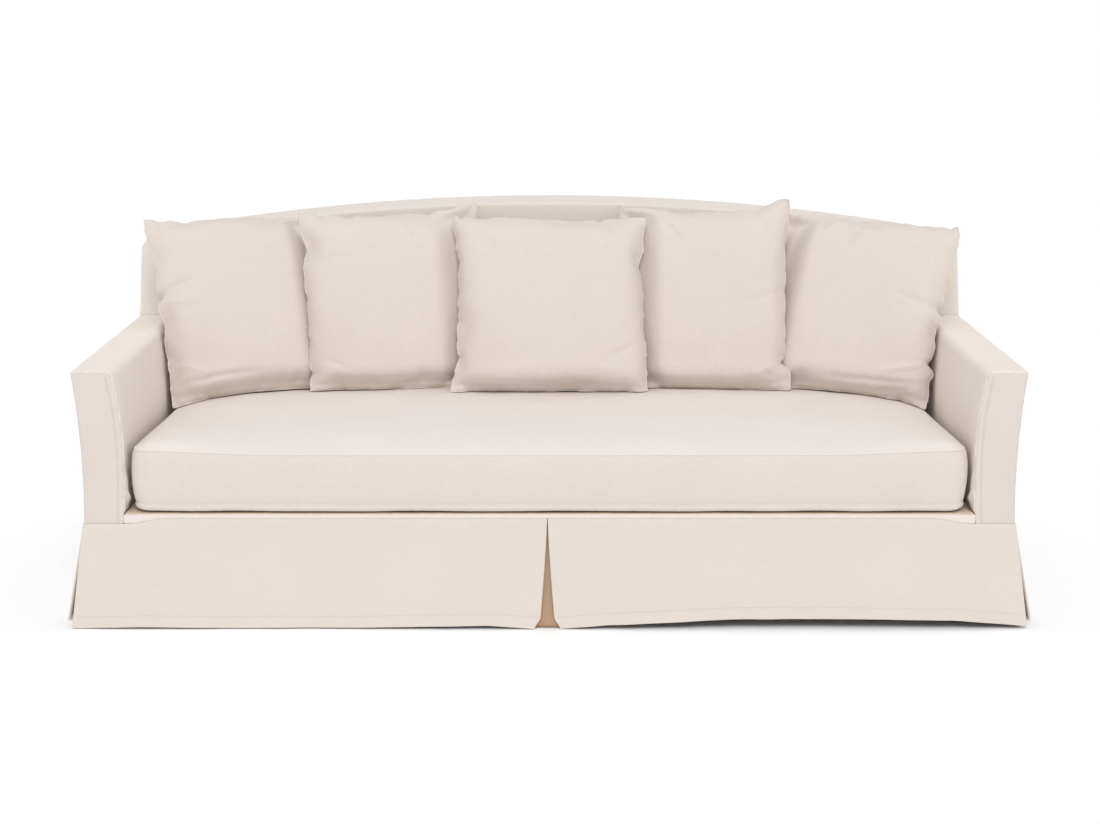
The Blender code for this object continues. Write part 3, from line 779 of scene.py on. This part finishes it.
def underlay(name, node, route, front, outward, material, seed):
    """A strip whose plan at t is a route of a few points, with soft corners."""
    down = np.linspace(0.0, 1.0, UNDERLAY_ROWS)
    rows = []
    for t in down:
        bends = np.array(route(t))
        run = way_along(bends)
        places = np.linspace(0.0, run[-1], UNDERLAY_COLUMNS)
        line = np.stack([np.interp(places, run, bends[:, k]) for k in (0, 1)], axis=-1)
        for _ in range(2):
            line[1:-1] = 0.25 * line[:-2] + 0.5 * line[1:-1] + 0.25 * line[2:]
        seam = (seam_z(line[:, 0]) if front else ARM_SEAM) - UNDERLAY_SHORT
        z = seam + (hem_z(line[:, 0], front) + UNDERLAY_SHORT - seam) * t
        rows.append(np.column_stack([line, np.broadcast_to(z, len(line))]))
    points = np.array(rows)
    width, height = 2.0 * UNDERLAY_REACH, float(points[0, 0, 2] - points[-1, 0, 2])
    u, v = np.meshgrid(np.linspace(0.0, width, UNDERLAY_COLUMNS), height * (1.0 - down))
    ripple = 0.0010 * drift(u / 0.05, v / 0.20, seed) * (1.0 - v / height)
    points = points + grid_normals(points, outward) * ripple[..., None]
    piece = cloth_layer(name, points, np.stack([u, v], axis=-1), outward, material)
    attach(piece, "root")
    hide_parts(node)


def centre_route(t):
    y = front_y(t) + SETBACK
    return [(PLEAT_X - UNDERLAY_REACH, y), (PLEAT_X + UNDERLAY_REACH, y)]


underlay("pleat_centre_cloth", "pleat_centre", centre_route, True, (0, -1, 0),
         centre_slit_shade_linen, 91)
# The corner underlays are painted a tone darker and browner than the skirt: painted shade
# for the gaps at the corner pleats.
corner_gap_shade_linen = woven_linen("ecru linen, corner underlay, darkened as painted shade", "#D2C3B2", "#C9B9A6")


def corner_route(side, end, t):
    """Behind the front or rear panel, round the corner, and behind the side one."""
    face_x, face_y = front_corner(side, t) if end < 0 else rear_corner(side, t)
    flank_x, flank_y = side_corner(side, end, t)
    back = SETBACK + 0.002
    return [(face_x - side * UNDERLAY_REACH, face_y - end * back),
            (face_x - side * back, face_y - end * back),
            (flank_x - side * back, flank_y - end * back),
            (flank_x - side * back, flank_y - end * UNDERLAY_REACH)]


for side, word in SIDES:
    for end, place in ((-1, "front"), (1, "back")):
        underlay(f"pleat_{place}_{word}_cloth", f"pleat_{place}_{word}",
                 lambda t: corner_route(side, end, t), end < 0, (side, end, 0),
                 corner_gap_shade_linen, 95 + side + end)

# ------------------------------------------------------------------ machine stitches
# Linen-coloured sewing thread: one row along the turned-up hem of each skirt
# panel, and two rows down the inner edge of each arm front.
STITCHES = {"Pitch": 0.0040, "Stitch length": 0.0030, "Thread radius": 0.00045,
            "Unevenness": 0.12}
STITCH_PROUD = 0.0002
TOPSTITCH_INSETS = (0.0140, 0.0172)


def sewing_thread():
    """Spun polyester thread, two-ply, with the faint gloss of its twist."""
    thread, shader = new_finish("spun sewing thread", Roughness=0.6)
    tree = thread.node_tree
    place = add_node(tree, "ShaderNodeTexCoord").outputs["Object"]
    twist = add_node(tree, "ShaderNodeTexWave", {"bands_direction": "DIAGONAL"},
                     Vector=place, Scale=900.0)
    colour = add_node(tree, "ShaderNodeMix", {"data_type": "RGBA"},
                      Factor=twist.outputs["Fac"],
                      in_6=linear("#BFAE9C"), in_7=linear("#D6C9BA"))
    tree.links.new(colour.outputs[2], shader.inputs["Base Color"])
    return thread


def stitch_tree(thread):
    """Lays a short rounded stitch at even steps along every line given to it."""
    tree = bpy.data.node_groups.new("row of stitches", "GeometryNodeTree")
    named = tree.interface
    named.new_socket("Lines", in_out="INPUT", socket_type="NodeSocketGeometry")
    for word in STITCHES:
        named.new_socket(word, in_out="INPUT", socket_type="NodeSocketFloat")
    named.new_socket("Stitches", in_out="OUTPUT", socket_type="NodeSocketGeometry")
    given = add_node(tree, "NodeGroupInput").outputs
    line = add_node(tree, "GeometryNodeMeshToCurve", Mesh=given["Lines"])
    steps = add_node(tree, "GeometryNodeResampleCurve", {"mode": "LENGTH"},
                     Curve=line.outputs["Curve"], Length=given["Pitch"])
    ahead = add_node(tree, "GeometryNodeInputTangent")
    turn = add_node(tree, "FunctionNodeAlignRotationToVector", {"axis": "Z"},
                    Vector=ahead.outputs["Tangent"])
    bead = add_node(tree, "GeometryNodeMeshUVSphere", Segments=6, Rings=4, Radius=1.0)
    half = add_node(tree, "ShaderNodeMath", {"operation": "MULTIPLY"},
                    in_0=given["Stitch length"], in_1=0.5)
    short = add_node(tree, "ShaderNodeMath", {"operation": "SUBTRACT"},
                     in_0=1.0, in_1=given["Unevenness"])
    chance = add_node(tree, "FunctionNodeRandomValue", {"data_type": "FLOAT"},
                      Min=short.outputs["Value"], Max=1.0, Seed=3)
    chance_value = next(o for o in chance.outputs if o.enabled)
    reach = add_node(tree, "ShaderNodeMath", {"operation": "MULTIPLY"},
                     in_0=half.outputs["Value"], in_1=chance_value)
    size = add_node(tree, "ShaderNodeCombineXYZ", X=given["Thread radius"],
                    Y=given["Thread radius"], Z=reach.outputs["Value"])
    laid_down = add_node(tree, "GeometryNodeInstanceOnPoints",
                         Points=steps.outputs["Curve"],
                         Instance=bead.outputs["Mesh"], Rotation=turn.outputs["Rotation"],
                         Scale=size.outputs["Vector"])
    real = add_node(tree, "GeometryNodeRealizeInstances",
                    Geometry=laid_down.outputs["Instances"])
    coated = add_node(tree, "GeometryNodeSetMaterial", Geometry=real.outputs["Geometry"],
                      Material=thread)
    end = add_node(tree, "NodeGroupOutput")
    tree.links.new(coated.outputs["Geometry"], end.inputs["Stitches"])
    return tree


def sew(name, rows, tree):
    """Sews rows of stitches, each a line of places, as one plain mesh."""
    mesh = bpy.data.meshes.new(name)
    starts = set(np.cumsum([len(row) for row in rows]).tolist())
    joins = [(k, k + 1) for k in range(max(starts) - 1) if k + 1 not in starts]
    mesh.from_pydata(np.concatenate(rows).tolist(), joins, [])
    guide = new_thing(name, mesh)
    nodes = guide.modifiers.new("stitches", "NODES")
    nodes.node_group = tree
    for word, value in STITCHES.items():
        socket = next(item for item in tree.interface.items_tree
                      if item.name == word and item.in_out == "INPUT")
        nodes[socket.identifier] = value
    settled = guide.evaluated_get(bpy.context.evaluated_depsgraph_get())
    stitched = bpy.data.meshes.new_from_object(settled)
    guide.modifiers.remove(nodes)
    guide.data = stitched
    stitched.shade_smooth()
    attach(guide, "root")


def hem_row(name):
    """The line of stitches that holds a skirt panel's hem."""
    points, outward = laid[name]
    level = points[:, :, 2] - points[-1:, :, 2]
    line = np.array([[np.interp(HEM_DEPTH, level[::-1, k], points[::-1, k, axis])
                      for axis in range(3)] for k in range(points.shape[1])])
    return line + outward * STITCH_PROUD


stitches = stitch_tree(sewing_thread())
hem_rows = [hem_row(f"skirt_{word}_cloth")
            for word in ("front_left", "front_right", "left", "right", "back")]
sew("hem_stitches", hem_rows, stitches)
topstitch_rows = []
for _, word in SIDES:
    points, outward = laid[f"arm_{word}_front_cloth"]
    across = np.linalg.norm(np.diff(points, axis=1), axis=2).cumsum(axis=1)
    for inset in TOPSTITCH_INSETS:
        line = [[np.interp(inset, across[k], points[k, 1:, axis]) for axis in range(3)]
                for k in range(3, len(points) - 5)]
        topstitch_rows.append(np.array(line) + outward * STITCH_PROUD)
sew("arm_topstitches", topstitch_rows, stitches)

# ------------------------------------------------------------------ seat cushion
# One long cushion, foam wrapped in fibre, in a boxed cover: a crowned top, a
# band round the sides that bulges between its two seams, and a flat underside.
# The top and the band are one cloth in two tones: the top is painted lighter as painted
# light on the seat, and the band darker as painted shade on its upright sides.
seat_top_lit_linen = woven_linen("ecru linen, cushion top, lightened as painted light", "#E8E0DA", "#E1D8D0",
                            slub_share=0.645)
seat_band_shaded_linen = woven_linen("ecru linen, cushion band, darkened as painted shade", "#DED5CC", "#D7CCC2",
                         slub_share=0.640)
SEAT_HALF = 1.013
SEAT_TAPER = 0.020
SEAT_FRONT = -0.472
SEAT_REAR = 0.305
SEAT_DEPTH = SEAT_REAR - SEAT_FRONT
SEAT_MIDDLE = 0.5 * (SEAT_FRONT + SEAT_REAR)
SEAT_CORNER = 0.045
SEAT_BOTTOM = 0.287
SEAT_LOW_SEAM = 0.306
SEAT_SEAM = 0.430
SEAT_CROWN = 0.036
SEAT_STEP = 0.009
SEAM_LIFT = 0.010           # the overfilled front corners push the top seam up
CORNER_PUFF = 0.014
PUFF_REACH = 0.32
TOP_HILLS = 0.0022          # the filling lies unevenly: broad hills on the top,
TOP_DIMPLES = 0.0007        # small dimples,
BAND_SWELL = 0.0016         # and swells along the band
SEAM_DIP = 0.0016
TOP_GATHER = 0.0011
BAND_GATHER = 0.0010
BAND_SAG = 0.0012           # the band's rows rise and fall this much along it
BASE_SHRINK = 0.93

# The side of the cushion from its top seam down, under its lower edge and in:
# the height of each row, and how far it stands out from the top seam.
BAND = np.array((
    # height, out
    (0.430, 0.0012), (0.4285, -0.0006), (0.4265, 0.0), (0.423, 0.0018), (0.418, 0.0036),
    (0.410, 0.0052), (0.400, 0.0065), (0.386, 0.0076), (0.372, 0.0080), (0.358, 0.0078),
    (0.345, 0.0071), (0.333, 0.0058), (0.322, 0.0044), (0.314, 0.0028), (0.3095, 0.0014),
    (0.3075, 0.0003), (0.306, 0.0010), (0.3045, 0.0008), (0.302, 0.0022), (0.298, 0.0024),
    (0.2935, 0.0), (0.290, -0.0045), (0.288, -0.010), (0.287, -0.018), (0.287, -0.028),
))


def seat_side(y):
    """Half width of the cushion at a depth, as if its corners were square."""
    return SEAT_HALF - SEAT_TAPER * (y - SEAT_FRONT) / SEAT_DEPTH


def seat_half(y):
    """The same, with its round front corners."""
    into = np.clip(SEAT_CORNER - (y - SEAT_FRONT), 0.0, SEAT_CORNER)
    return seat_side(y) - SEAT_CORNER + np.sqrt(SEAT_CORNER ** 2 - into ** 2)


def seat_top(x, y):
    """Height of the crowned top."""
    across = np.clip(np.abs(x) / seat_side(y), 0.0, 1.0)
    deep = np.clip(np.abs(y - SEAT_MIDDLE) / (0.5 * SEAT_DEPTH), 0.0, 1.0)
    return SEAT_SEAM + SEAT_CROWN * (1.0 - across ** 9) * (1.0 - deep ** 4)


def corner_lift(x, y):
    """How far the filling lifts the top seam, most at the front corners."""
    near_front = smooth(1.0 - (y - SEAT_FRONT) / 0.50)
    return SEAM_LIFT * smooth((np.abs(x) - 0.66) / 0.34) * near_front


def seat_cushion():
    u, v = np.meshgrid(stations(2.0 * SEAT_HALF, SEAT_STEP),
                       stations(SEAT_DEPTH, SEAT_STEP))
    y = SEAT_FRONT + SEAT_DEPTH * v
    x = (2.0 * u - 1.0) * seat_half(y)
    off = np.minimum.reduce([v * SEAT_DEPTH, (1.0 - v) * SEAT_DEPTH,
                             (1.0 - np.abs(2.0 * u - 1.0)) * SEAT_HALF])
    uneven = TOP_HILLS * drift(x / 0.34, y / 0.26, 101)
    uneven = uneven + TOP_DIMPLES * drift(x / 0.10, y / 0.09, 102)
    top = seat_top(x, y) + uneven * (1.0 - bell(off, 0.08))
    top -= SEAM_DIP * bell(off, 0.0028) * (off > 0.0)
    from_corner = np.hypot(SEAT_HALF - np.abs(x), y - SEAT_FRONT)
    top += CORNER_PUFF * smooth(1.0 - from_corner / PUFF_REACH) * (1.0 - bell(off, 0.025))
    top += corner_lift(x, y)
    run = np.where(v * SEAT_DEPTH <= off + 1e-9, x, y)
    top += TOP_GATHER * drift(run / 0.024, off / 0.08, 103) * by_seam(off, 0.022, 0.004)

    number = np.arange(u.size).reshape(u.shape)
    cells = [grid_cells(number).reshape(-1, 4)]
    points = [np.stack([x, y, top], -1).reshape(-1, 3)]
    flat = [np.stack([x, y], -1).reshape(-1, 2)]
    rim = np.concatenate([number[0, :], number[1:, -1], number[-1, -2::-1],
                          number[-2:0:-1, 0]])
    line = points[0][rim][:, :2]
    ahead = np.roll(line, -1, axis=0) - np.roll(line, 1, axis=0)
    out = np.stack([ahead[:, 1], -ahead[:, 0]], -1)
    out /= np.linalg.norm(out, axis=1, keepdims=True)
    length = way_along(line)
    previous = rim
    total = u.size
    for z, push in BAND[1:]:
        seam = min(abs(z - SEAT_SEAM), abs(z - SEAT_LOW_SEAM))
        part = min(max((z - SEAT_LOW_SEAM) / (SEAT_SEAM - SEAT_LOW_SEAM), 0.0), 1.0)
        gather = BAND_GATHER * drift(length / 0.021, z / 0.08, 105)
        swell = BAND_SWELL * drift(length / 0.22, z / 0.20, 106)
        push = push + gather * by_seam(seam, 0.016, 0.003)
        push = push + swell * math.sin(math.pi * part)
        ring = line + out * push[:, None]
        ring[:, 1] = np.minimum(ring[:, 1], SEAT_REAR)
        rise = part * corner_lift(line[:, 0], line[:, 1])
        if z > SEAT_BOTTOM:
            rise = rise + BAND_SAG * drift(length / 0.18, 0.0 * length, 107)
        points.append(np.column_stack([ring, np.maximum(z + rise, SEAT_BOTTOM)]))
        flat.append(np.column_stack([length, np.full(len(ring), z)]))
        here = total + np.arange(len(rim))
        total += len(rim)
        cells.append(np.stack([previous, here, np.roll(here, -1),
                               np.roll(previous, -1)], axis=-1))
        previous = here

    under = np.full(u.shape, -1)
    under[1:-1, 1:-1] = total + np.arange(under[1:-1, 1:-1].size).reshape(
        under[1:-1, 1:-1].shape)
    under.ravel()[rim] = previous
    base = np.stack([x * (1.0 + BAND[-1, 1] / SEAT_HALF),
                     SEAT_MIDDLE + (y - SEAT_MIDDLE) * BASE_SHRINK,
                     np.full_like(x, SEAT_BOTTOM)], -1)[1:-1, 1:-1]
    points.append(base.reshape(-1, 3))
    flat.append(base[..., :2].reshape(-1, 2))
    cells.append(grid_cells(under.T).reshape(-1, 4))
    piece = woven_mesh("seat_cushion_filled", np.concatenate(points),
                       np.concatenate(cells), np.concatenate(flat), seat_top_lit_linen)
    piece.data.materials.append(seat_band_shaded_linen)
    on_band = np.arange(len(piece.data.polygons)) >= len(cells[0])
    piece.data.polygons.foreach_set("material_index", on_band.astype(np.int32))
    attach(piece, "root")
    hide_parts("seat_cushion")


seat_cushion()

# ------------------------------------------------------------------ scatter pillows
# Five feather-filled knife-edge pillows: two squares of the cloth sewn face to
# face, turned out and filled, so the sides draw in between the corners.
# The pillows are painted a tone darker than the body cloth: painted shade on their fronts.
pillow_shaded_linen = woven_linen("ecru linen, pillows, darkened as painted shade", "#DED4CC", "#D6CBC0")
PILLOW_COLUMNS = ("x", "y", "width", "height", "thick", "turn", "lean", "roll")
PILLOWS = (
    (-0.794, 0.112, 0.510, 0.525, 0.140, 17.0, 22.0, 2.0),
    (-0.420, 0.142, 0.505, 0.510, 0.135, 8.0, 15.0, 2.3),
    (0.003, 0.097, 0.530, 0.510, 0.150, 0.0, 18.0, 0.0),
    (0.414, 0.142, 0.475, 0.520, 0.135, -8.0, 15.0, 2.5),
    (0.794, 0.112, 0.520, 0.520, 0.140, -17.0, 22.0, -5.0),
)
PILLOW_DRAW = 0.075         # the middle of each side draws in by this part
PILLOW_CELLS = 48
PILLOW_STEP = 0.0058
BACK_CUT = 0.7              # the back square is cut this far off in the cloth
REST = 0.002                # the gap left to whatever a pillow leans on,
BACK_PUFF = 0.004           # and more at the back, whose cloth swells out
SETTLE = 0.030              # the bottom seam sinks to the seat, by up to this,
SETTLE_REACH = 0.09         # and takes the cloth above it along
FILL_SIDE = 0.26            # half the side of the squares while they are filled
FILL_FRAMES = 16
FILL_NOISE = 0.0009
FILLING = {"quality": 6, "mass": 0.3, "tension_stiffness": 40.0,
           "compression_stiffness": 40.0, "shear_stiffness": 8.0,
           "bending_stiffness": 0.3, "use_pressure": True, "uniform_pressure_force": 2.0}
CALM_PASSES = 5
FULLNESS = 0.80             # below 1, the middle is flatter and the sides rounder
EDGE_FLAT = 0.8             # how much the seam flattens the cloth beside it
EDGE_SCALLOP = 0.0011
EDGE_GATHER = 0.0013

# The rolls across the foot of each front: height of its middle above the bottom
# seam, half width, and how far it stands out
FOOT_ROLLS = ((0.010, 0.009, 0.0030), (0.024, 0.008, -0.0034))
BELLY = 0.008               # the same for the wide one above them
BELLY_AT = 0.065
BELLY_WIDTH = 0.032

# How each corner is pulled across and up, in metres: top left and right, then
# bottom left and right. Last, the side that sinks behind the next pillow.
EAR_REACH = 0.20
TUCK = 0.032
EARS = {
    1: ((0.0, -0.010), (-0.040, -0.030), (0.022, 0.0), (0.0, 0.0), 1),
    2: ((0.016, 0.003), (0.0, 0.0), (0.010, 0.024), (0.0, 0.010), 1),
    3: ((-0.002, -0.006), (-0.010, -0.014), (0.0, 0.008), (0.0, 0.008), 0),
    4: ((0.004, 0.006), (0.0, 0.006), (0.0, 0.010), (-0.010, 0.024), -1),
    5: ((0.040, -0.030), (-0.002, -0.008), (0.0, 0.0), (-0.012, 0.0), -1),
}

# Where a fold nips the side seam: left or right, and how far up the side
NOTCH = 0.012
NOTCHES = {1: ((-1, 0.57),), 4: ((1, 0.14),), 5: ((1, 0.53), (1, 0.24))}

# The creases of each front, listed on a face that runs from -0.5 to 0.5 both
# ways, and with widths and heights as parts of the pillow's width: from x, z
# to x, z, half width, and height, which is below zero for a groove.
CREASES = {
    1: ((-0.49, 0.07, -0.27, 0.13, 0.0115, -0.0125),
        (-0.48, 0.03, -0.30, 0.00, 0.0120, 0.0092),
        (-0.48, -0.40, 0.05, -0.37, 0.013, -0.0138),
        (0.36, -0.44, 0.44, -0.12, 0.0144, -0.0092),
        (0.30, 0.44, 0.46, 0.10, 0.0216, -0.0092),
        (-0.47, -0.30, -0.24, -0.37, 0.012, 0.008),
        (-0.40, 0.40, -0.12, 0.22, 0.0216, -0.0069)),
    2: ((-0.47, 0.23, -0.22, 0.25, 0.0101, -0.0069),
        (0.06, 0.47, 0.16, 0.30, 0.0101, -0.0103),
        (-0.40, -0.42, 0.30, -0.41, 0.013, -0.0050),
        (0.34, 0.44, 0.46, 0.24, 0.0158, 0.0092),
        (-0.44, -0.30, -0.24, -0.36, 0.0144, -0.0069)),
    3: ((0.24, 0.46, 0.40, 0.30, 0.0115, -0.0092),
        (0.18, 0.47, 0.30, 0.33, 0.0101, 0.0069),
        (-0.44, -0.42, 0.30, -0.44, 0.0120, -0.0045),
        (-0.40, 0.40, -0.24, 0.22, 0.0216, -0.0069),
        (0.46, -0.20, 0.28, -0.30, 0.013, -0.0069)),
    4: ((0.47, -0.36, 0.26, -0.40, 0.012, 0.009),
        (0.45, -0.46, 0.30, -0.34, 0.010, -0.008),
        (-0.26, 0.46, -0.10, 0.28, 0.0115, -0.0115),
        (-0.16, 0.47, 0.00, 0.36, 0.0086, 0.008),
        (0.28, 0.44, 0.42, 0.30, 0.0144, -0.0092),
        (-0.42, -0.43, 0.22, -0.42, 0.013, -0.0050),
        (0.46, 0.04, 0.24, -0.02, 0.0144, -0.0069)),
    5: ((0.47, -0.27, 0.22, -0.35, 0.013, 0.010),
        (0.46, -0.42, 0.24, -0.44, 0.010, 0.008),
        (0.02, 0.47, -0.06, 0.26, 0.0115, -0.0126),
        (-0.06, 0.47, -0.20, 0.34, 0.0101, 0.0092),
        (0.46, 0.02, 0.20, 0.08, 0.0144, -0.0092),
        (0.48, -0.38, -0.10, -0.40, 0.013, -0.0138),
        (-0.44, 0.30, -0.30, -0.20, 0.0216, -0.008)),
}


def pillow_grid(lines):
    """Numbers of the points of a pillow's two faces, which share their rim."""
    front = np.arange(lines * lines).reshape(lines, lines)
    inside = np.zeros((lines, lines), dtype=bool)
    inside[1:-1, 1:-1] = True
    back = front.copy()
    back[inside] = lines * lines + np.arange(np.count_nonzero(inside))
    return front, back, inside


def pillow_cells(front, back):
    cells = []
    for ids, way in ((front, 1), (back, -1)):
        cells.append(grid_cells(ids).reshape(-1, 4)[:, ::way])
    return np.concatenate(cells)


def drawn_pillow():
    """The front and back of a filled pillow of unit size, drawn by rule."""
    line = np.linspace(-1.0, 1.0, PILLOW_CELLS + 1)
    u, v = np.meshgrid(line, line)
    x = 0.5 * u * (1.0 - PILLOW_DRAW * (1.0 - v ** 4))
    z = 0.5 * v * (1.0 - PILLOW_DRAW * (1.0 - u ** 4))
    fill = np.maximum((1.0 - u ** 2) * (1.0 - v ** 2), 0.0) ** 0.62
    return np.stack([x, -0.5 * fill, z], -1), np.stack([x, 0.5 * fill, z], -1)


def blown_pillow(seed):
    """Two squares of cloth sewn together and blown up from inside, which
    settles their sides, ears and the wrinkles that run in from the seam."""
    front, back, inside = pillow_grid(PILLOW_CELLS + 1)
    dice = np.random.default_rng(seed)
    line = np.linspace(-FILL_SIDE, FILL_SIDE, PILLOW_CELLS + 1)
    x, z = np.meshgrid(line, line)
    bulge = 0.03 * drawn_pillow()[1][..., 1]
    shape = np.concatenate([np.stack([x, -bulge, z], -1).reshape(-1, 3),
                            np.stack([x, bulge, z], -1)[inside]])
    shape += dice.normal(0.0, FILL_NOISE, shape.shape)
    mesh = bpy.data.meshes.new("filling")
    mesh.from_pydata(shape.tolist(), [], pillow_cells(front, back).tolist())
    body = new_thing("filling", mesh)
    cloth = body.modifiers.new("filling", "CLOTH")
    for key, value in FILLING.items():
        setattr(cloth.settings, key, value)
    cloth.settings.effector_weights.gravity = 0.0
    cloth.collision_settings.use_collision = False
    cloth.point_cache.frame_end = FILL_FRAMES
    for moment in range(1, FILL_FRAMES + 1):
        bpy.context.scene.frame_set(moment)
    settled = body.evaluated_get(bpy.context.evaluated_depsgraph_get()).to_mesh()
    points = np.empty(len(settled.vertices) * 3)
    settled.vertices.foreach_get("co", points)
    points = points.reshape(-1, 3)
    bpy.context.scene.frame_set(1)
    bpy.data.objects.remove(body)
    points -= points.mean(axis=0)
    corners = points[front[[0, 0, -1, -1], [0, -1, 0, -1]]]
    half = np.abs(corners).mean(axis=0)
    thick = np.percentile(np.abs(points[:, 1]), 98.0)
    points = points / np.array([2.0 * half[0], 2.0 * thick, 2.0 * half[2]])
    points[:, 1] = 0.5 * np.sign(points[:, 1]) * np.abs(2.0 * points[:, 1]) ** FULLNESS
    return calmed(points[front]), calmed(points[back])


def calmed(grid):
    """A face with its finest wrinkles eased out, and its rim a little less so."""
    for _ in range(CALM_PASSES):
        beside = grid[:-2, 1:-1] + grid[2:, 1:-1] + grid[1:-1, :-2] + grid[1:-1, 2:]
        grid[1:-1, 1:-1] = 0.4 * grid[1:-1, 1:-1] + 0.15 * beside
    line = grid.copy()
    for side in (0, -1):
        beside = grid[side, :-2] + grid[side, 2:]
        line[side, 1:-1] = 0.5 * grid[side, 1:-1] + 0.25 * beside
        beside = grid[:-2, side] + grid[2:, side]
        line[1:-1, side] = 0.5 * grid[1:-1, side] + 0.25 * beside
    return line


def finer(grid, lines):
    """A grid of points read again at other parts of its way, on smooth curves
    that pass through four rows at a time."""
    last = len(grid) - 1
    longer = np.concatenate([2.0 * grid[:1] - grid[1:2], grid,
                             2.0 * grid[-1:] - grid[-2:-1]])
    first = np.minimum((lines * last).astype(int), last - 1)
    t = (lines * last - first)[:, None, None]
    a, b, c, d = (longer[first + k] for k in range(4))
    cubic = t * (3.0 * (b - c) + d - a)
    return b + 0.5 * t * (c - a + t * (2.0 * a - 5.0 * b + 4.0 * c - d + cubic))


def swung(a, b, degrees):
    """Two coordinates after a turn that takes the first towards the second."""
    c, s = math.cos(math.radians(degrees)), math.sin(math.radians(degrees))
    return a * c - b * s, a * s + b * c


def place_pillow(row, points, above):
    """Rolls, leans and turns a pillow, sets it on the seat with its lower seam
    down all along, and lets it flatten on the seat, the back and the arms."""
    x, y, z = (points[..., k] for k in range(3))
    x, z = swung(x, z, row["roll"])
    z = z + 0.5 * row["height"] * (1.0 - PILLOW_DRAW)
    y, z = swung(y, z, -row["lean"])
    x, y = swung(x, y, row["turn"])
    x, y, z = x + row["x"], y + row["y"], z + SEAT_SEAM + SEAT_CROWN
    gap = np.clip(z[0] - seat_top(x[0], y[0]) - REST, 0.0, SETTLE)
    z = z - gap * np.exp(-above / SETTLE_REACH)
    y = np.minimum(y, inside_back_y(z) - REST - BACK_PUFF)
    z = np.maximum(z, seat_top(x, y) + REST)
    limit = np.where(z < ARM_TOP, inner_half(z) - REST, 2.0)
    return np.stack([np.clip(x, -limit, limit), y, z], -1)


def pillow(number, row):
    width, height = row["width"], row["height"]
    lines = stations(width, PILLOW_STEP)
    u, v = np.meshgrid(lines * width, lines * height)
    by_side = np.minimum(u, width - u)
    by_end = np.minimum(v, height - v)
    off = np.minimum(by_side, by_end)
    run = np.where(by_side < by_end, v, u)
    faces = blown_pillow(200 + number)
    faces = [finer(finer(face, lines).swapaxes(0, 1), lines).swapaxes(0, 1)
             for face in faces]
    middle, half = 0.5 * (faces[0] + faces[1]), 0.5 * (faces[0] - faces[1])
    half = half * (1.0 - EDGE_FLAT * bell(off - 0.003, 0.003))[..., None]
    size = np.array([width, row["thick"], height])

    scallop = EDGE_SCALLOP * drift(run / 0.016, 0.0 * run, 230 + number)
    scallop = scallop * np.exp(-off / 0.010)
    shift_x = -np.sign(u - 0.5 * width) * np.where(by_side < by_end, scallop, 0.0)
    shift_z = -np.sign(v - 0.5 * height) * np.where(by_side < by_end, 0.0, scallop)
    for side, height_part in NOTCHES.get(number, ()):
        near = u if side < 0 else width - u
        up = v - height_part * height
        nip = bell(up, 0.011) - 0.5 * bell(up + 0.03, 0.02)
        shift_x -= side * NOTCH * nip * np.exp(-near / 0.03)
    *ears, tucked = EARS[number]
    corners = ((0.0, height), (width, height), (0.0, 0.0), (width, 0.0))
    for (corner_u, corner_v), (across, up) in zip(corners, ears):
        weight = smooth(1.0 - np.hypot(u - corner_u, v - corner_v) / EAR_REACH)
        shift_x = shift_x + across * weight
        shift_z = shift_z + up * weight

    x, z = faces[0][..., 0], faces[0][..., 2]
    relief = width * sum(soft_fold(x, z, fold) for fold in CREASES[number])
    gather = drift(run / 0.017, off / 0.06, 210 + number)
    relief += EDGE_GATHER * gather * by_seam(off, 0.024, 0.003)
    for roll_at, roll_width, out in FOOT_ROLLS:
        relief += out * bell(v - roll_at, roll_width) * (0.6 + 0.4 * gather)
    relief += BELLY * bell(v - BELLY_AT, BELLY_WIDTH) * smooth(by_side / 0.10)
    behind = smooth((tucked * (u / width - 0.5) - 0.21) / 0.13)
    relief -= TUCK * behind * smooth(off / 0.05)
    placed = []
    for way in (1.0, -1.0):
        face = (middle + way * half) * size
        face[..., 0] += shift_x
        face[..., 2] += shift_z
        if way > 0.0:
            face[..., 1] -= relief * (1.0 - np.exp(-off / 0.004))
        placed.append(place_pillow(row, face, v))

    front, back, inside = pillow_grid(len(lines))
    flat = np.stack([v, u], -1)
    piece = woven_mesh(f"pillow_{number}_filled",
                       np.concatenate([placed[0].reshape(-1, 3), placed[1][inside]]),
                       pillow_cells(front, back),
                       np.concatenate([flat.reshape(-1, 2), flat[inside] + BACK_CUT]),
                       pillow_shaded_linen)
    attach(piece, "root")
    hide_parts(f"pillow_{number}")


for number, values in enumerate(PILLOWS, start=1):
    pillow(number, dict(zip(PILLOW_COLUMNS, values)))
